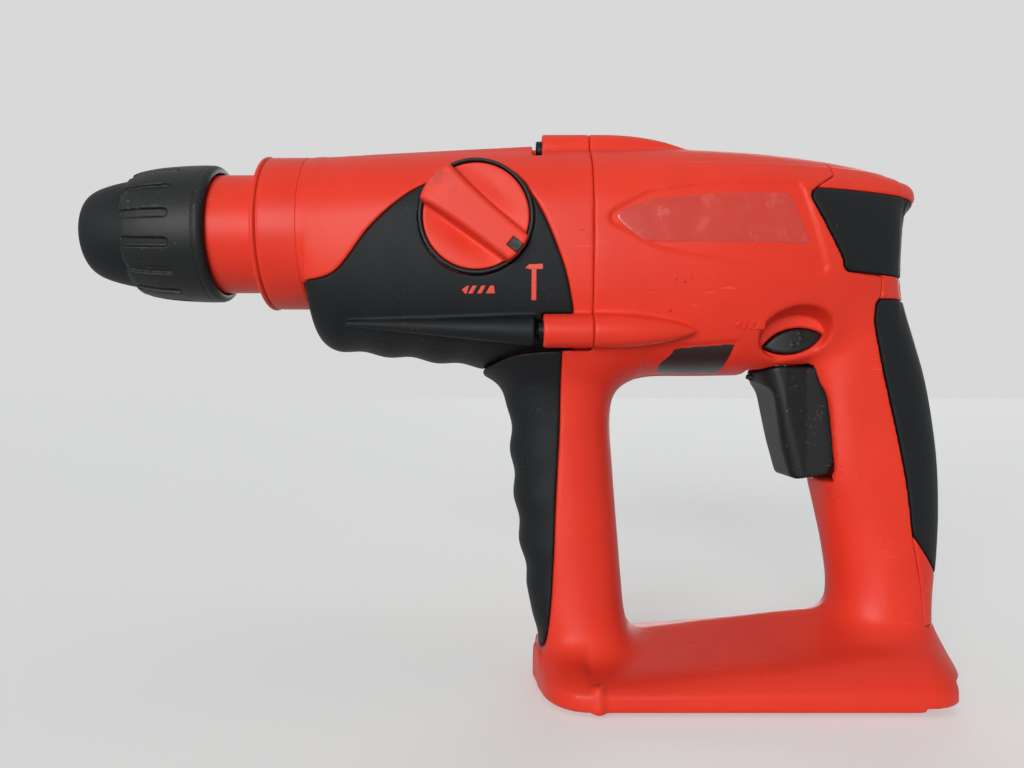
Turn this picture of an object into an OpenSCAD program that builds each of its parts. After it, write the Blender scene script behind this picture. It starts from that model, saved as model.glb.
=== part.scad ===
// Cordless rotary hammer with a D-shaped handle and a sliding battery foot.
// X runs along the drilling axis with the bit mouth at the origin and the handle at +X.
// Z is up and Y is across the tool, with the mode knob on the -Y side. Millimetres.

/* [Chuck] */
// Length of the domed nose cap ahead of the grip sleeve
nose_length = 19; // [17:0.5:23]
// Diameter of the nose cap where it meets the sleeve
nose_d = 40; // [36:0.5:42]
// Length of the sliding grip sleeve
sleeve_length = 32; // [30:0.5:39]
// Largest diameter of the grip sleeve
sleeve_d = 51; // [50:0.5:62]
// How far the sleeve pulls back to free a bit
sleeve_travel = 8; // [5:0.5:8.5]
// Number of finger slots round the sleeve
sleeve_slots = 15; // [8:1:18]
// Bore that guides the bit shank
bit_bore_d = 10.1; // [10:0.05:12]
// Length of the plain guide bore
bit_guide_length = 24; // [20:0.5:26]

/* [Neck] */
// Diameter of the neck that takes a side handle
neck_d = 44; // [43:0.5:46]
// Length of bare neck between the sleeve and the flange
neck_length = 17.4; // [14:0.2:24]
// Diameter of the flange lip behind the neck
flange_d = 57.6; // [56:0.2:62]
// Length of the round collar from the flange to the gear housing
collar_length = 15.6; // [12:0.2:20]

/* [Gear housing] */
// Length of the gear housing from the collar to the motor seam
gear_length = 103; // [98:0.5:124]
// Depth of the chin below the axis at its front
chin_drop = 44.7; // [43:0.1:49]
// Thickness of the soft shroud over the gear housing
shroud_skin = 2.4; // [1.8:0.1:3]
// Height of the finger waves under the shroud
chin_wave = 1.2; // [0:0.1:1.8]
// Outer radius of the hammer tube
tube_r = 14.5; // [13.5:0.1:15.5]
// Radius of the piston's bore in the hammer tube
piston_bore_r = 11.5; // [10.5:0.1:12]
// Width of the spindle gear's teeth
gear_face = 10; // [8:0.5:12]
// Tooth module of both gear pairs
tooth_module = 1; // [0.95:0.01:1.02]

/* [Motor housing] */
// Widest part of the body
body_w = 72; // [70:0.5:87]
// Height of the body above the axis at the motor seam
body_rise = 30.6; // [30:0.1:37]
// Depth of the body below the axis over the hand opening
body_drop = 53.5; // [52.5:0.5:58]
// Length from the motor seam to the front of the rear grip
motor_reach = 84; // [80:0.5:101]
// Diameter of the motor can
motor_d = 50; // [42:0.5:52]
// Length of the motor can
motor_length = 60; // [52:0.5:64]

/* [Handles and foot] */
// Height of the hand opening at the front handle
hand_gap = 93; // [77:0.5:112]
// Depth of the rear grip from front to back
grip_depth = 48; // [45:0.5:58]
// Width of the rear grip
grip_w = 33; // [32:0.5:40]
// Depth of the front handle from front to back
front_depth = 38; // [34:0.5:46]
// Width of the front handle
front_w = 31.5; // [28:0.5:38]
// Height of the finger waves down the front handle
finger_wave = 1; // [0:0.1:1.5]
// Thickness of the soft grips
grip_skin = 2.6; // [2:0.1:3.2]
// Overall width of the battery foot
foot_w = 75; // [70:0.5:90]
// Height of the foot below the hand opening
foot_height = 21.3; // [19:0.1:25]
// How far the foot reaches ahead of the motor seam
foot_lead = 18.5; // [16:0.5:22]
// Width of the slide channel for the battery
slide_w = 48; // [44:0.5:52]
// Depth of the slide channel
slide_depth = 9; // [8:0.5:10]

/* [Controls] */
// Diameter of the mode knob
knob_d = 35; // [30:0.5:36]
// Width of the trigger
trigger_w = 27; // [23:0.5:27.5]
// Height of the trigger below its pivot
trigger_height = 45.5; // [42:0.5:50]
// Length of the direction button in side view
button_length = 21.7; // [18:0.1:23]
// Height of the direction button in side view
button_height = 8.3; // [6:0.1:9]

/* [Hidden] */

red = "#E5402F";
black = "#24272A";
steel = "#9AA0A6";
bright = "#C9CDD1";
copper = "#B8703A";
magnet_grey = "#55595E";
brass = "#C6A14A";

$fn = 64;
skin_fn = 24;
run_gap = 0.05; // radial running clearance of a shaft or a sliding piece
press_gap = 0.02; // what is left round a pressed-in piece
seat_gap = 0.15; // clearance of a piece set into a moulding
part_gap = 0.35; // clearance between pieces that move past each other
eps = 0.01;

// Places along the drilling axis
rim_x = nose_length + sleeve_length;
flange_x = rim_x + neck_length;
case_x = flange_x + collar_length;
chin_x = case_x + 2.5;
seam_x = case_x + gear_length;
grip_x = seam_x + motor_reach;
back_x = grip_x + grip_depth;
bow_x = seam_x - foot_lead;

// Heights
gap_top = -body_drop;
gap_floor = gap_top - hand_gap;
foot_floor = gap_floor - foot_height;

half_w = body_w / 2;
case_r = flange_d / 2 - 0.6;
grip_half = grip_w / 2;
front_half = front_w / 2;
foot_half = foot_w / 2;
core_inset = shroud_skin + seat_gap;
grip_inset = grip_skin + seat_gap;
reach_y = 2 * body_w;

// Value of a table of stations at any place, smooth through each station
function station(t, x, i = 0) = i >= len(t) - 2 || x < t[i + 1][0] ? i : station(t, x, i + 1);
function slope(t, i) =
  let (a = max(i - 1, 0), b = min(i + 1, len(t) - 1)) (t[b] - t[a]) / (t[b][0] - t[a][0]);
function blend(p, q, m, n, u) =
  p * (2 * u ^ 3 - 3 * u ^ 2 + 1) + m * (u ^ 3 - 2 * u ^ 2 + u)
  + q * (3 * u ^ 2 - 2 * u ^ 3) + n * (u ^ 3 - u ^ 2);
function along(t, x) =
  let (i = station(t, x), h = t[i + 1][0] - t[i][0])
  blend(t[i], t[i + 1], slope(t, i) * h, slope(t, i + 1) * h, (x - t[i][0]) / h);

// Smooth curve through a few chosen points, for outlines seen from the side
function through(p, steps = 3) = [
  for (i = [0 : len(p) - 2]) for (k = [0 : steps - 1])
    let (a = p[max(i - 1, 0)], d = p[min(i + 2, len(p) - 1)])
    blend(p[i], p[i + 1], (p[i + 1] - a) / 2, (d - p[i]) / 2, k / steps),
  p[len(p) - 1]
];

// Arc of points about a centre, from one angle to another
function arc(c, r, a, b, steps = 6) =
  [for (i = [0 : steps]) let (t = a + (b - a) * i / steps) c + r * [cos(t), sin(t)]];

// Sine or cosine squared up towards a rounded rectangle
function squared(v, n) = sign(v) * pow(abs(v), 2 / n);

// Section square to X: row = [x, half width, rise, drop, upper and lower squareness, centre height]
function section_x(row, inset, sides) = [
  for (k = [0 : sides - 1])
    let (
      c = cos(360 * k / sides),
      s = sin(360 * k / sides),
      n = s >= 0 ? row[4] : row[5],
      reach = (s >= 0 ? row[2] : row[3]) - inset
    )
    [row[0], (row[1] - inset) * squared(c, n), row[6] + reach * squared(s, n)]
];

// Section square to Z: row = [z, front, back, half width, front and back squareness]
function section_z(row, inset, sides) = [
  for (k = [0 : sides - 1])
    let (
      c = cos(360 * k / sides),
      s = sin(360 * k / sides),
      n = c < 0 ? row[4] : row[5],
      mid = (row[1] + row[2]) / 2,
      reach = (row[2] - row[1]) / 2 - inset
    )
    [mid + reach * squared(c, n), (row[3] - inset) * squared(s, n), row[0]]
];

// Closed skin over a stack of sections with the same number of points
module skin(rings) {
  n = len(rings[0]);
  m = len(rings);
  polyhedron(
    points = [for (r = rings) each r],
    faces = [
      [for (k = [0 : n - 1]) k],
      for (i = [0 : m - 2]) for (k = [0 : n - 1]) each [
        [i * n + k, (i + 1) * n + k, (i + 1) * n + (k + 1) % n],
        [i * n + k, (i + 1) * n + (k + 1) % n, i * n + (k + 1) % n]
      ],
      [for (k = [n - 1 : -1 : 0]) (m - 1) * n + k]
    ]
  );
}

// One free-form moulding made of several skins and cuts
module moulding() {
  minkowski() { union() children(); }
}

// Radius that lets a round piece into a hole with few sides
function snug(r) = r / cos(180 / skin_fn);

// Lays a shape drawn along Z on the drilling axis, or on an axis beside it
module on_axis(x = 0, z = 0, y = 0) {
  translate([x, y, z]) rotate([0, 90, 0]) children();
}

// Disc or ring on such an axis
module ring(x, length, outer, inner = 0, z = 0) {
  on_axis(x, z) difference() {
    cylinder(h = length, r = outer);
    if (inner > 0) translate([0, 0, -1]) cylinder(h = length + 2, r = inner);
  }
}

// Side-view outline carried across the tool
module across(outline, width = reach_y) {
  rotate([90, 0, 0]) linear_extrude(width, center = true) polygon(outline);
}

// Box given by its low and high corners
module block(low, high) {
  translate(low) cube(high - low);
}

// Body sections from the chin to the tail
body_end = grip_x + 29;
body_rows = [
  [chin_x, case_r - 0.3, case_r - 0.3, chin_drop - 8.5, 2, 2.2, 0],
  [chin_x + 2.2, case_r + 0.4, case_r + 0.1, chin_drop - 4, 2, 2.2, 0],
  [chin_x + 5.5, case_r + 1, case_r + 0.2, chin_drop - 1.3, 2, 2.25, 0],
  [chin_x + 10.5, case_r + 1.8, case_r + 0.4, chin_drop, 2, 2.3, 0],
  [chin_x + 24, half_w - 4.4, case_r + 0.9, chin_drop + 1.5, 2.05, 2.4, 0],
  [chin_x + 42, half_w - 2.6, body_rise - 1, chin_drop + 3.6, 2.1, 2.45, 0],
  [chin_x + 61, half_w - 1.2, body_rise - 0.5, chin_drop + 6, 2.15, 2.5, 0],
  [seam_x - 20, half_w - 0.4, body_rise - 0.2, body_drop - 1.2, 2.2, 2.5, 0],
  [seam_x, half_w, body_rise, body_drop, 2.25, 2.55, 0],
  [seam_x + 23, half_w + 0.2, body_rise - 0.4, body_drop, 2.3, 2.6, 0],
  [grip_x - 40, half_w - 0.2, body_rise - 1.3, body_drop, 2.35, 2.6, 0],
  [grip_x - 21, half_w - 1.8, body_rise - 2.6, body_drop - 0.5, 2.4, 2.6, 0],
  [grip_x - 4, half_w - 4.8, body_rise - 4.3, body_drop - 2.5, 2.4, 2.5, 0],
  [grip_x + 9, half_w - 8, body_rise - 6, body_drop - 5.5, 2.35, 2.4, 0],
  [grip_x + 19, half_w - 11.5, body_rise - 7.8, body_drop - 9.5, 2.3, 2.3, 0],
  [grip_x + 25.5, half_w - 15.5, body_rise - 10.4, body_drop - 16, 2.2, 2.2, 0],
  [body_end, half_w - 21, body_rise - 15, body_drop - 26, 2.1, 2.1, 0]
];

// Rear grip sections from the foot up to the top cap
grip_rows = [
  [foot_floor + 7, grip_x, back_x - 2.5, grip_half + 6, 2.4, 2.4],
  [gap_floor - 4, grip_x, back_x - 3, grip_half + 3.2, 2.3, 2.4],
  [gap_floor + 3.5, grip_x + 6.4, back_x - 3.2, grip_half + 1.2, 2.2, 2.4],
  [gap_floor + 12, grip_x + 8.5, back_x - 2.6, grip_half + 0.3, 2.1, 2.3],
  [gap_floor + 27, grip_x + 7, back_x - 0.8, grip_half, 2.1, 2.2],
  [gap_floor + 43, grip_x + 4.4, back_x, grip_half, 2.4, 2.2],
  [gap_top - 31.5, grip_x + 2.2, back_x - 0.6, grip_half + 0.3, 3, 2.2],
  [gap_top - 14.5, grip_x + 0.8, back_x - 2.8, grip_half + 0.8, 3, 2.2],
  [gap_top - 0.5, grip_x - 3, back_x - 5.6, grip_half + 1.8, 2.6, 2.2],
  [-42, grip_x - 9, back_x - 9.2, grip_half + 3.3, 2.1, 2.2],
  [-30, grip_x - 15, back_x - 13, grip_half + 4.7, 2.1, 2.2],
  [-18, grip_x - 19, back_x - 16.2, grip_half + 5.8, 2.1, 2.2],
  [-8, grip_x - 21, back_x - 17.4, grip_half + 6.4, 2.1, 2.2],
  [0, grip_x - 21, back_x - 16, grip_half + 6.6, 2.1, 2.2],
  [6, grip_x - 20, back_x - 13, grip_half + 6.2, 2.1, 2.2],
  [11, grip_x - 18, back_x - 9.6, grip_half + 5, 2.1, 2.3],
  [15.5, grip_x - 14, back_x - 10.4, grip_half + 2.6, 2.1, 2.3],
  [18.6, grip_x - 7, back_x - 14, grip_half - 2.5, 2.1, 2.2],
  [20.2, grip_x + 3, back_x - 22, grip_half - 8, 2.1, 2.1]
];

// Front handle sections from the foot up to the body
heel_x = bow_x + front_depth - 7.6;
front_rows = [
  [foot_floor + 7, bow_x + 0.5, heel_x + 13, front_half + 5.5, 2.3, 2.3],
  [gap_floor - 4.5, bow_x + 0.8, heel_x + 6, front_half + 2.8, 2.3, 2.2],
  [gap_floor + 4, bow_x - 1.4, heel_x + 3, front_half + 1.3, 2.3, 2.1],
  [gap_floor + 17, bow_x - 4, heel_x + 1.6, front_half + 0.4, 2.2, 2.1],
  [gap_floor + 32, bow_x - 6.5, heel_x + 0.4, front_half, 2.2, 2.1],
  [gap_floor + 47, bow_x - 8.3, heel_x - 0.8, front_half - 0.1, 2.2, 2.1],
  [gap_top - 31.5, bow_x - 9.6, heel_x - 1.8, front_half, 2.2, 2.1],
  [gap_top - 18.5, bow_x - 10.3, heel_x - 2.6, front_half + 0.6, 2.2, 2.1],
  [gap_top - 9.5, bow_x - 11.5, heel_x - 1.8, front_half + 1.6, 2.2, 2.1],
  [gap_top - 2.5, bow_x - 14.5, heel_x + 1.4, front_half + 3.6, 2.2, 2.2],
  [gap_top + 4.5, bow_x - 21.5, heel_x + 8, front_half + 7.2, 2.2, 2.2],
  [gap_top + 10.5, bow_x - 29, heel_x + 17, front_half + 11, 2.2, 2.2]
];

// Finger waves: whole cosines between two ends, at about a finger's width
chin_waves = 3;
chin_wave_ends = [chin_x + 7, seam_x - 38];
front_waves = 4;
front_wave_ends = [gap_floor + 13.2, gap_top - 10.2];
function wave(v, ends, waves, height) =
  v < ends[0] || v > ends[1]
    ? 0 : height * (1 - cos(360 * waves * (v - ends[0]) / (ends[1] - ends[0]))) / 2;

// Even steps from one place up to another, and the places of a list between two ends
function steps(a, b, step) = let (n = ceil((b - a) / step)) [for (i = [0 : n - 1]) a + (b - a) * i / n];
function between(places, a, b) = [a, for (x = places) if (x > a + 0.4 && x < b - 0.4) x, b];
body_rear = concat(
  steps(seam_x, body_end - 10, 13),
  [for (d = [10, 6.5, 3.5, 1.5, 0]) body_end - d]
);
body_places = concat(
  [for (d = [0, 1.1, 2.2, 3.8, 5.5]) chin_x + d],
  steps(chin_wave_ends[0], chin_wave_ends[1], (chin_wave_ends[1] - chin_wave_ends[0]) / chin_waves / 4),
  steps(chin_wave_ends[1], seam_x, 10),
  body_rear
);
core_places = concat([for (d = [0, 2.2, 5.5, 10.5]) chin_x + d], steps(chin_x + 17, seam_x, 14), body_rear);

// Foot: a bow-shaped plan with a tapered stern, under a crowned top that climbs to the rear
bow_length = 20;
stern_x = back_x - 1;
stern_length = 22;
foot_mid = foot_floor + 6.5;
function bow_plan(x) = pow(1 - pow((bow_x + bow_length - x) / (bow_length + 0.8), 2.5), 0.4);
function stern_plan(x) = 1 - 0.42 * pow((x - stern_x + stern_length) / stern_length, 3);
function foot_plan(x) =
  foot_half * (x < bow_x + bow_length ? bow_plan(x) : x > stern_x - stern_length ? stern_plan(x) : 1);
foot_crown = [
  [bow_x, gap_floor - 8],
  [bow_x + 6, gap_floor - 4.6],
  [bow_x + 16, gap_floor - 3.4],
  [bow_x + 33, gap_floor - 3],
  [grip_x - 32, gap_floor + 1.4],
  [grip_x + 3, gap_floor + 5],
  [stern_x - 16, gap_floor + 5],
  [stern_x - 8, gap_floor + 2],
  [stern_x, gap_floor - 4]
];
foot_stations = [
  for (d = [0, 1.2, 3.2, 6.5, 11, 15.5, bow_length]) bow_x + d,
  bow_x + 33, grip_x - 32, grip_x + 3,
  for (d = [stern_length, 16, 12, 8, 5, 2.5, 0]) stern_x - d
];

module waved_body(from, to, sides = 24) {
  skin([
    for (x = between(body_places, from, to))
      let (w = wave(x, chin_wave_ends, chin_waves, chin_wave))
      section_x(along(body_rows, x) - [0, 0, 0, w, 0, 0, 0], 0, sides)
  ]);
}

// The same form without its waves, and what lies under it and under them
module body_form(inset = 0, from = chin_x, to = body_end, lift = 0, sides = 24) {
  skin([
    for (x = between(core_places, from, to))
      section_x(along(body_rows, x) - [0, 0, 0, lift, 0, 0, 0], inset, sides)
  ]);
}
module body_core(inset, from, to) {
  body_form(inset, from, to, chin_wave, 20);
}

module grip_form(inset = 0, count = 17, sides = 20) {
  low = grip_rows[0][0];
  high = grip_rows[len(grip_rows) - 1][0];
  skin([for (i = [0 : count]) section_z(along(grip_rows, low + (high - low) * i / count), inset, sides)]);
}

front_low = front_rows[0][0];
front_high = front_rows[len(front_rows) - 1][0];
module front_form(inset = 0, sides = 16) {
  pitch = (front_wave_ends[1] - front_wave_ends[0]) / front_waves;
  skin([
    for (z = concat(
      steps(front_low, front_wave_ends[0], 9),
      steps(front_wave_ends[0], front_wave_ends[1], pitch / 4),
      steps(front_wave_ends[1], front_high, 5),
      [front_high]
    ))
      let (w = wave(z, front_wave_ends, front_waves, finger_wave))
      section_z(along(front_rows, z) + [0, w, 0, 0, 0, 0], inset, sides)
  ]);
}
module front_core(inset, sides = 16) {
  skin([
    for (z = concat(steps(front_low, front_high, 11), [front_high]))
      section_z(along(front_rows, z) + [0, finger_wave, 0, 0, 0, 0], inset, sides)
  ]);
}

module foot_form(sides = 16) {
  skin([
    for (x = foot_stations)
      let (rise = along(foot_crown, x)[1] - foot_mid)
      section_x([x, foot_plan(x), rise, foot_mid - foot_floor + 0.12, 1.4, 8, foot_mid], 0, sides)
  ]);
}

// Four housing screws along the tool, in bosses that stand out of the body
boss_r = 5.8;
boss_x = seam_x - 17;
boss_nose = 35;
top_boss = [14.5, body_rise - 3.1];
low_boss = [half_w - 4.5, -38.5];
head_r = 3.5;
head_length = 6;
shank_r = 2;
shank_length = 34;
screw_x = boss_x - 2;
module each_screw(spots = [top_boss, low_boss]) {
  for (side = [-1, 1]) for (spot = spots) on_axis(0, spot[1], side * spot[0]) children();
}
module bosses() {
  each_screw() translate([0, 0, boss_x]) cylinder(h = seam_x - boss_x, r = boss_r, $fn = 24);
}
module boss_noses() {
  each_screw() translate([0, 0, seam_x]) hull() {
    cylinder(h = 8, r = boss_r, $fn = 24);
    translate([0, 0, 21]) cylinder(h = 1, r = boss_r * 0.72, $fn = 16);
    translate([0, 0, boss_nose]) sphere(r = 1, $fn = 8);
  }
}
module screw_holes() {
  each_screw() translate([0, 0, screw_x]) {
    cylinder(h = shank_length + head_length + 1, r = shank_r + seat_gap, $fn = 16);
    translate([0, 0, -0.6]) cylinder(h = head_length + 0.7, r = head_r + seat_gap, $fn = 20);
  }
}
// Tapered ribs that lead up to the screw heads
rib_end_x = screw_x - 1;
module top_ribs() {
  for (side = [-1, 1]) hull() {
    on_axis(rib_end_x - 1, top_boss[1] - 2, side * top_boss[0]) cylinder(h = 1, r = 4.2, $fn = 20);
    translate([chin_x + 5, side * (top_boss[0] - 4), case_r - 5]) sphere(r = 1, $fn = 8);
  }
}
module low_ribs() {
  for (side = [-1, 1]) hull() {
    on_axis(rib_end_x - 1, low_boss[1], side * (low_boss[0] - 0.6)) cylinder(h = 1, r = 5, $fn = 20);
    translate([chin_x + 17, side * (case_r - 7.5), -chin_drop + 9.5]) sphere(r = 1, $fn = 8);
  }
}

// Mode knob seat in the left side of the gear housing
knob_x = seam_x - 39.7;
knob_r = knob_d / 2;
bezel_r = knob_r + 2;
knob_floor = half_w - 4;
module knob_place() {
  translate([knob_x, -knob_floor, 0]) rotate([90, 0, 0]) children();
}

// Line under the gear housing where the front handle begins
handle_line = through([
  [bow_x - 21, gap_top + 1.8],
  [bow_x - 8.5, gap_top + 7],
  [bow_x + 5.5, gap_top + 8.5],
  [seam_x, gap_top + 8.6]
]);
module below_handle_line() {
  across(concat(handle_line, [
    [seam_x + 1, gap_top + 8.6],
    [seam_x + 1, foot_floor - 10],
    [bow_x - 50, foot_floor - 10],
    [bow_x - 50, gap_top + 1.8]
  ]));
}

// Edge of the soft shroud: up its front, round the knob and down its back
shroud_edge = concat(
  [[chin_x - 1, gap_top - 20], [chin_x - 1, -20.4]],
  through([
    [chin_x + 1, -20.4], [chin_x + 7, -19.6], [chin_x + 12, -17.4], [chin_x + 17, -12.2],
    [knob_x - 36, -2.4], [knob_x - 24, 8], [knob_x - 14, 13.4]
  ], 2),
  arc([knob_x, 0], bezel_r + 0.8, 135, 20),
  through([
    [knob_x + 20, 5.8], [knob_x + 24, -2], [knob_x + 29.5, -16], [knob_x + 32, -26],
    [knob_x + 33.2, -34], [knob_x + 33.2, -47]
  ], 2),
  [[knob_x + 33.2, gap_top - 20]]
);

// Drive train: spindle gear over countershaft pinion, countershaft gear under motor pinion
spindle_teeth = 42;
lay_pinion_teeth = 12;
lay_gear_teeth = 28;
motor_pinion_teeth = 10;
lay_z = -tooth_module * (spindle_teeth + lay_pinion_teeth) / 2;
motor_z = lay_z + tooth_module * (lay_gear_teeth + motor_pinion_teeth) / 2;
function tip_r(teeth) = tooth_module * (teeth / 2 + 0.95);
gear_x = case_x + 40;
lay_gear_x = seam_x - 15;
lay_gear_face = 7;
wobble_x = seam_x - 32;
bearing_length = 6;
plate_x = seam_x - bearing_length;
plate_r = 26;
plate_z = (lay_z + motor_z) / 2;
bearing_r = 8;
shaft_r = 4;
lay_front_x = gear_x - 9;
tube_bearing_x = gear_x - 14;
tube_bearing_length = 8;
tube_bearing_r = tube_r + 3.5;
tube_end_x = gear_x + gear_face + 9;
bay_x = gear_x - 3;
wobble_bay_x = wobble_x - 12;
tube_bay_r = tube_r + 1.2;

module gear_bays() {
  on_axis(case_x - 1) cylinder(h = bay_x - case_x + 2, r = snug(tube_bay_r), $fn = skin_fn);
  on_axis(bay_x) cylinder(h = seam_x - bay_x + 1, r = snug(tip_r(spindle_teeth) + 0.8), $fn = skin_fn);
  on_axis(bay_x, lay_z) cylinder(h = seam_x - bay_x + 1, r = tip_r(lay_pinion_teeth) + 2, $fn = 32);
  on_axis(wobble_bay_x, lay_z)
    cylinder(h = seam_x - wobble_bay_x + 1, r = snug(tip_r(lay_gear_teeth) + 0.8), $fn = skin_fn);
  on_axis(lay_front_x - seat_gap, lay_z)
    cylinder(h = bearing_length + 4, r = snug(bearing_r + seat_gap), $fn = skin_fn);
  on_axis(tube_bearing_x)
    cylinder(h = tube_bearing_length, r = snug(tube_bearing_r + seat_gap), $fn = skin_fn);
  on_axis(plate_x, plate_z)
    cylinder(h = bearing_length + 1, r = snug(plate_r + seat_gap), $fn = skin_fn);
}

// Neck, flange and collar, turned in one piece round the front bearing and its seal
neck_r = neck_d / 2;
lock_x = nose_length + 7;
lock_length = 10;
sleeve_web = 1.3;
web_x = lock_x + lock_length + 0.2;
neck_x = web_x + sleeve_web + sleeve_travel + 1.5;
seal_x = neck_x + 5;
seal_length = 4;
seal_r = neck_r - 5;
spindle_bearing_x = seal_x + seal_length;
spindle_bearing_length = 12;
spindle_bearing_r = neck_r - 3;
module nose_collar() {
  lip_r = flange_d / 2;
  fillet = 2;
  color(red) on_axis() rotate_extrude() polygon(concat(
    [
      [seal_r + press_gap, neck_x],
      [neck_r - 1, neck_x],
      [neck_r, neck_x + 1]
    ],
    arc([neck_r + fillet, flange_x - fillet], fillet, 180, 90),
    arc([lip_r - 1, flange_x + 1], 1, -90, 90),
    [
      [case_r - 0.5, flange_x + 2],
      [case_r - 0.5, flange_x + 2.5],
      [case_r, flange_x + 2.8],
      [case_r, case_x],
      [tube_bay_r, case_x],
      [tube_bay_r, spindle_bearing_x + spindle_bearing_length],
      [spindle_bearing_r + press_gap, spindle_bearing_x + spindle_bearing_length],
      [spindle_bearing_r + press_gap, spindle_bearing_x],
      [seal_r + press_gap, spindle_bearing_x]
    ]
  ));
}

selector_r = 5;
module gear_housing() {
  color(red) moulding() difference() {
    union() {
      on_axis(case_x) cylinder(h = chin_x - case_x + 1, r = case_r, $fn = 80);
      difference() {
        body_form(0, chin_x, seam_x);
        difference() {
          across(shroud_edge);
          body_core(core_inset, chin_x + core_inset, seam_x);
        }
      }
      top_ribs();
      bosses();
    }
    gear_bays();
    screw_holes();
    below_handle_line();
    knob_place() {
      cylinder(h = 20, r = snug(bezel_r + seat_gap), $fn = skin_fn);
      translate([0, 0, -20]) cylinder(h = 30, r = selector_r + part_gap, $fn = 32);
    }
  }
}

module gear_shroud() {
  color(black) moulding() difference() {
    intersection() {
      union() {
        waved_body(chin_x, seam_x);
        low_ribs();
      }
      across(shroud_edge);
    }
    body_core(shroud_skin, chin_x + shroud_skin, seam_x);
    below_handle_line();
    each_screw([low_boss]) translate([0, 0, boss_x - seat_gap])
      cylinder(h = 30, r = boss_r + seat_gap, $fn = 24);
    screw_holes();
    knob_place() translate([0, 0, -2]) cylinder(h = 22, r = snug(bezel_r + seat_gap), $fn = skin_fn);
    on_axis(chin_x - 1) cylinder(h = core_inset + 1, r = case_r, $fn = 80);
  }
}

// Seam between the main housing and the rear shell, from the top down to the foot
rear_seam = concat(
  [[grip_x - 1, body_rise + 10], [grip_x, 23], [grip_x + 0.5, 15.8], [grip_x - 7, 11]],
  arc([grip_x - 6.4, 7.6], 3, 110, 205, 4),
  [[grip_x + 2.6, -14]],
  arc([grip_x + 5.8, -14.5], 3.4, 200, 275, 4),
  [[grip_x + 18.4, -18.8], [grip_x + 18.8, -25.2], [grip_x + 16.8, -28.3]],
  through([
    [grip_x + 16.8, -34], [grip_x + 20.5, gap_top + 4], [grip_x + 25.5, gap_top - 16],
    [grip_x + 30.2, gap_top - 37.5], [grip_x + 32.7, gap_top - 57.3]
  ]),
  [[grip_x + 36.3, gap_floor + 16], [grip_x + 37.5, gap_floor + 2]]
);
module behind_rear_seam(gap = 0) {
  tail = [[back_x + 40, gap_floor + 2], [back_x + 40, body_rise + 10]];
  translate([gap, 0, 0]) across(concat(rear_seam, tail));
}

// Saddle pad for the web of the thumb, and the long palm pad below it
module saddle_zone(gap = 0) {
  intersection_for (side = [-1, 1]) translate([gap, 0, side * gap]) across(concat(
    [[back_x + 20, 9], [grip_x - 7, 10.8]],
    arc([grip_x - 6.4, 7.6], 3, 110, 205, 4),
    [[grip_x + 2.6, -14]],
    arc([grip_x + 5.8, -14.5], 3.4, 200, 275, 4),
    [[back_x + 20, -19.2]]
  ));
}
module palm_zone(gap = 0) {
  intersection_for (side = [-1, 1]) translate([gap, 0, side * gap]) across(concat(
    [[back_x + 20, -25.5], [grip_x + 18.8, -26.5], [grip_x + 16.9, -28.5]],
    through([
      [grip_x + 16.8, -34], [grip_x + 20.5, gap_top + 4], [grip_x + 25.5, gap_top - 16],
      [grip_x + 30.2, gap_top - 37.5], [grip_x + 32.7, gap_top - 57.3]
    ]),
    [[back_x + 20, gap_top - 104.6]]
  ));
}
module rear_form() {
  grip_form();
  body_form(0, grip_x - 12, body_end);
}
module rear_core(inset) {
  grip_form(inset, 13, 16);
  body_form(inset, grip_x - 12, body_end - inset, 0, 16);
}
cavity_wall = 5.2;
module grip_cavity() {
  intersection() {
    grip_form(cavity_wall, 6, 12);
    block([grip_x - 10, -reach_y, gap_floor + 16], [back_x, reach_y, -24]);
  }
}

// Trigger opening in the front of the rear grip, deep enough for the trigger's swing
pivot = [grip_x + 8.5, gap_top + 7.5];
trigger_floor = pivot[1] - trigger_height;
trigger_half = trigger_w / 2;
trigger_swing = 8;
module trigger_bay() {
  back = grip_x + 9.7 + trigger_height * sin(trigger_swing);
  across(concat(
    [[grip_x - 26, gap_top + 3.2], [grip_x - 26, trigger_floor - 3]],
    [[grip_x + 3, trigger_floor - 2.4], [back - 3, trigger_floor - 1.2]],
    [[back, trigger_floor + 6], [back, pivot[1]]],
    arc(pivot, 6, 0, 130),
    [[grip_x - 4, gap_top + 3.2]]
  ), trigger_w + 2 * part_gap);
}

// Direction button: a lens-shaped shuttle in a dish on each side above the trigger
button_spot = [grip_x - 11.1, gap_top + 12.2];
button_tilt = 12;
button_half = half_w - 16.6;
dish_floor = button_half - 1.6;
lens_r = (button_length ^ 2 / 4 + button_height ^ 2 / 4) / button_height;
module lens(gap = 0) {
  drop = lens_r - button_height / 2;
  intersection_for (side = [-1, 1]) translate([0, side * drop]) circle(r = lens_r + gap);
}
module button_place() {
  translate([button_spot[0], 0, button_spot[1]]) rotate([90, 0, 0]) rotate(button_tilt) children();
}
module button_room() {
  button_place() linear_extrude(reach_y, center = true) lens(part_gap);
  for (side = [-1, 1]) button_place() scale([1, 1, side]) translate([0, 1.6, dish_floor])
    linear_extrude(20, scale = 1.6) scale([1, 0.66]) circle(r = button_length / 2 + 0.6, $fn = 40);
}

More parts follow.
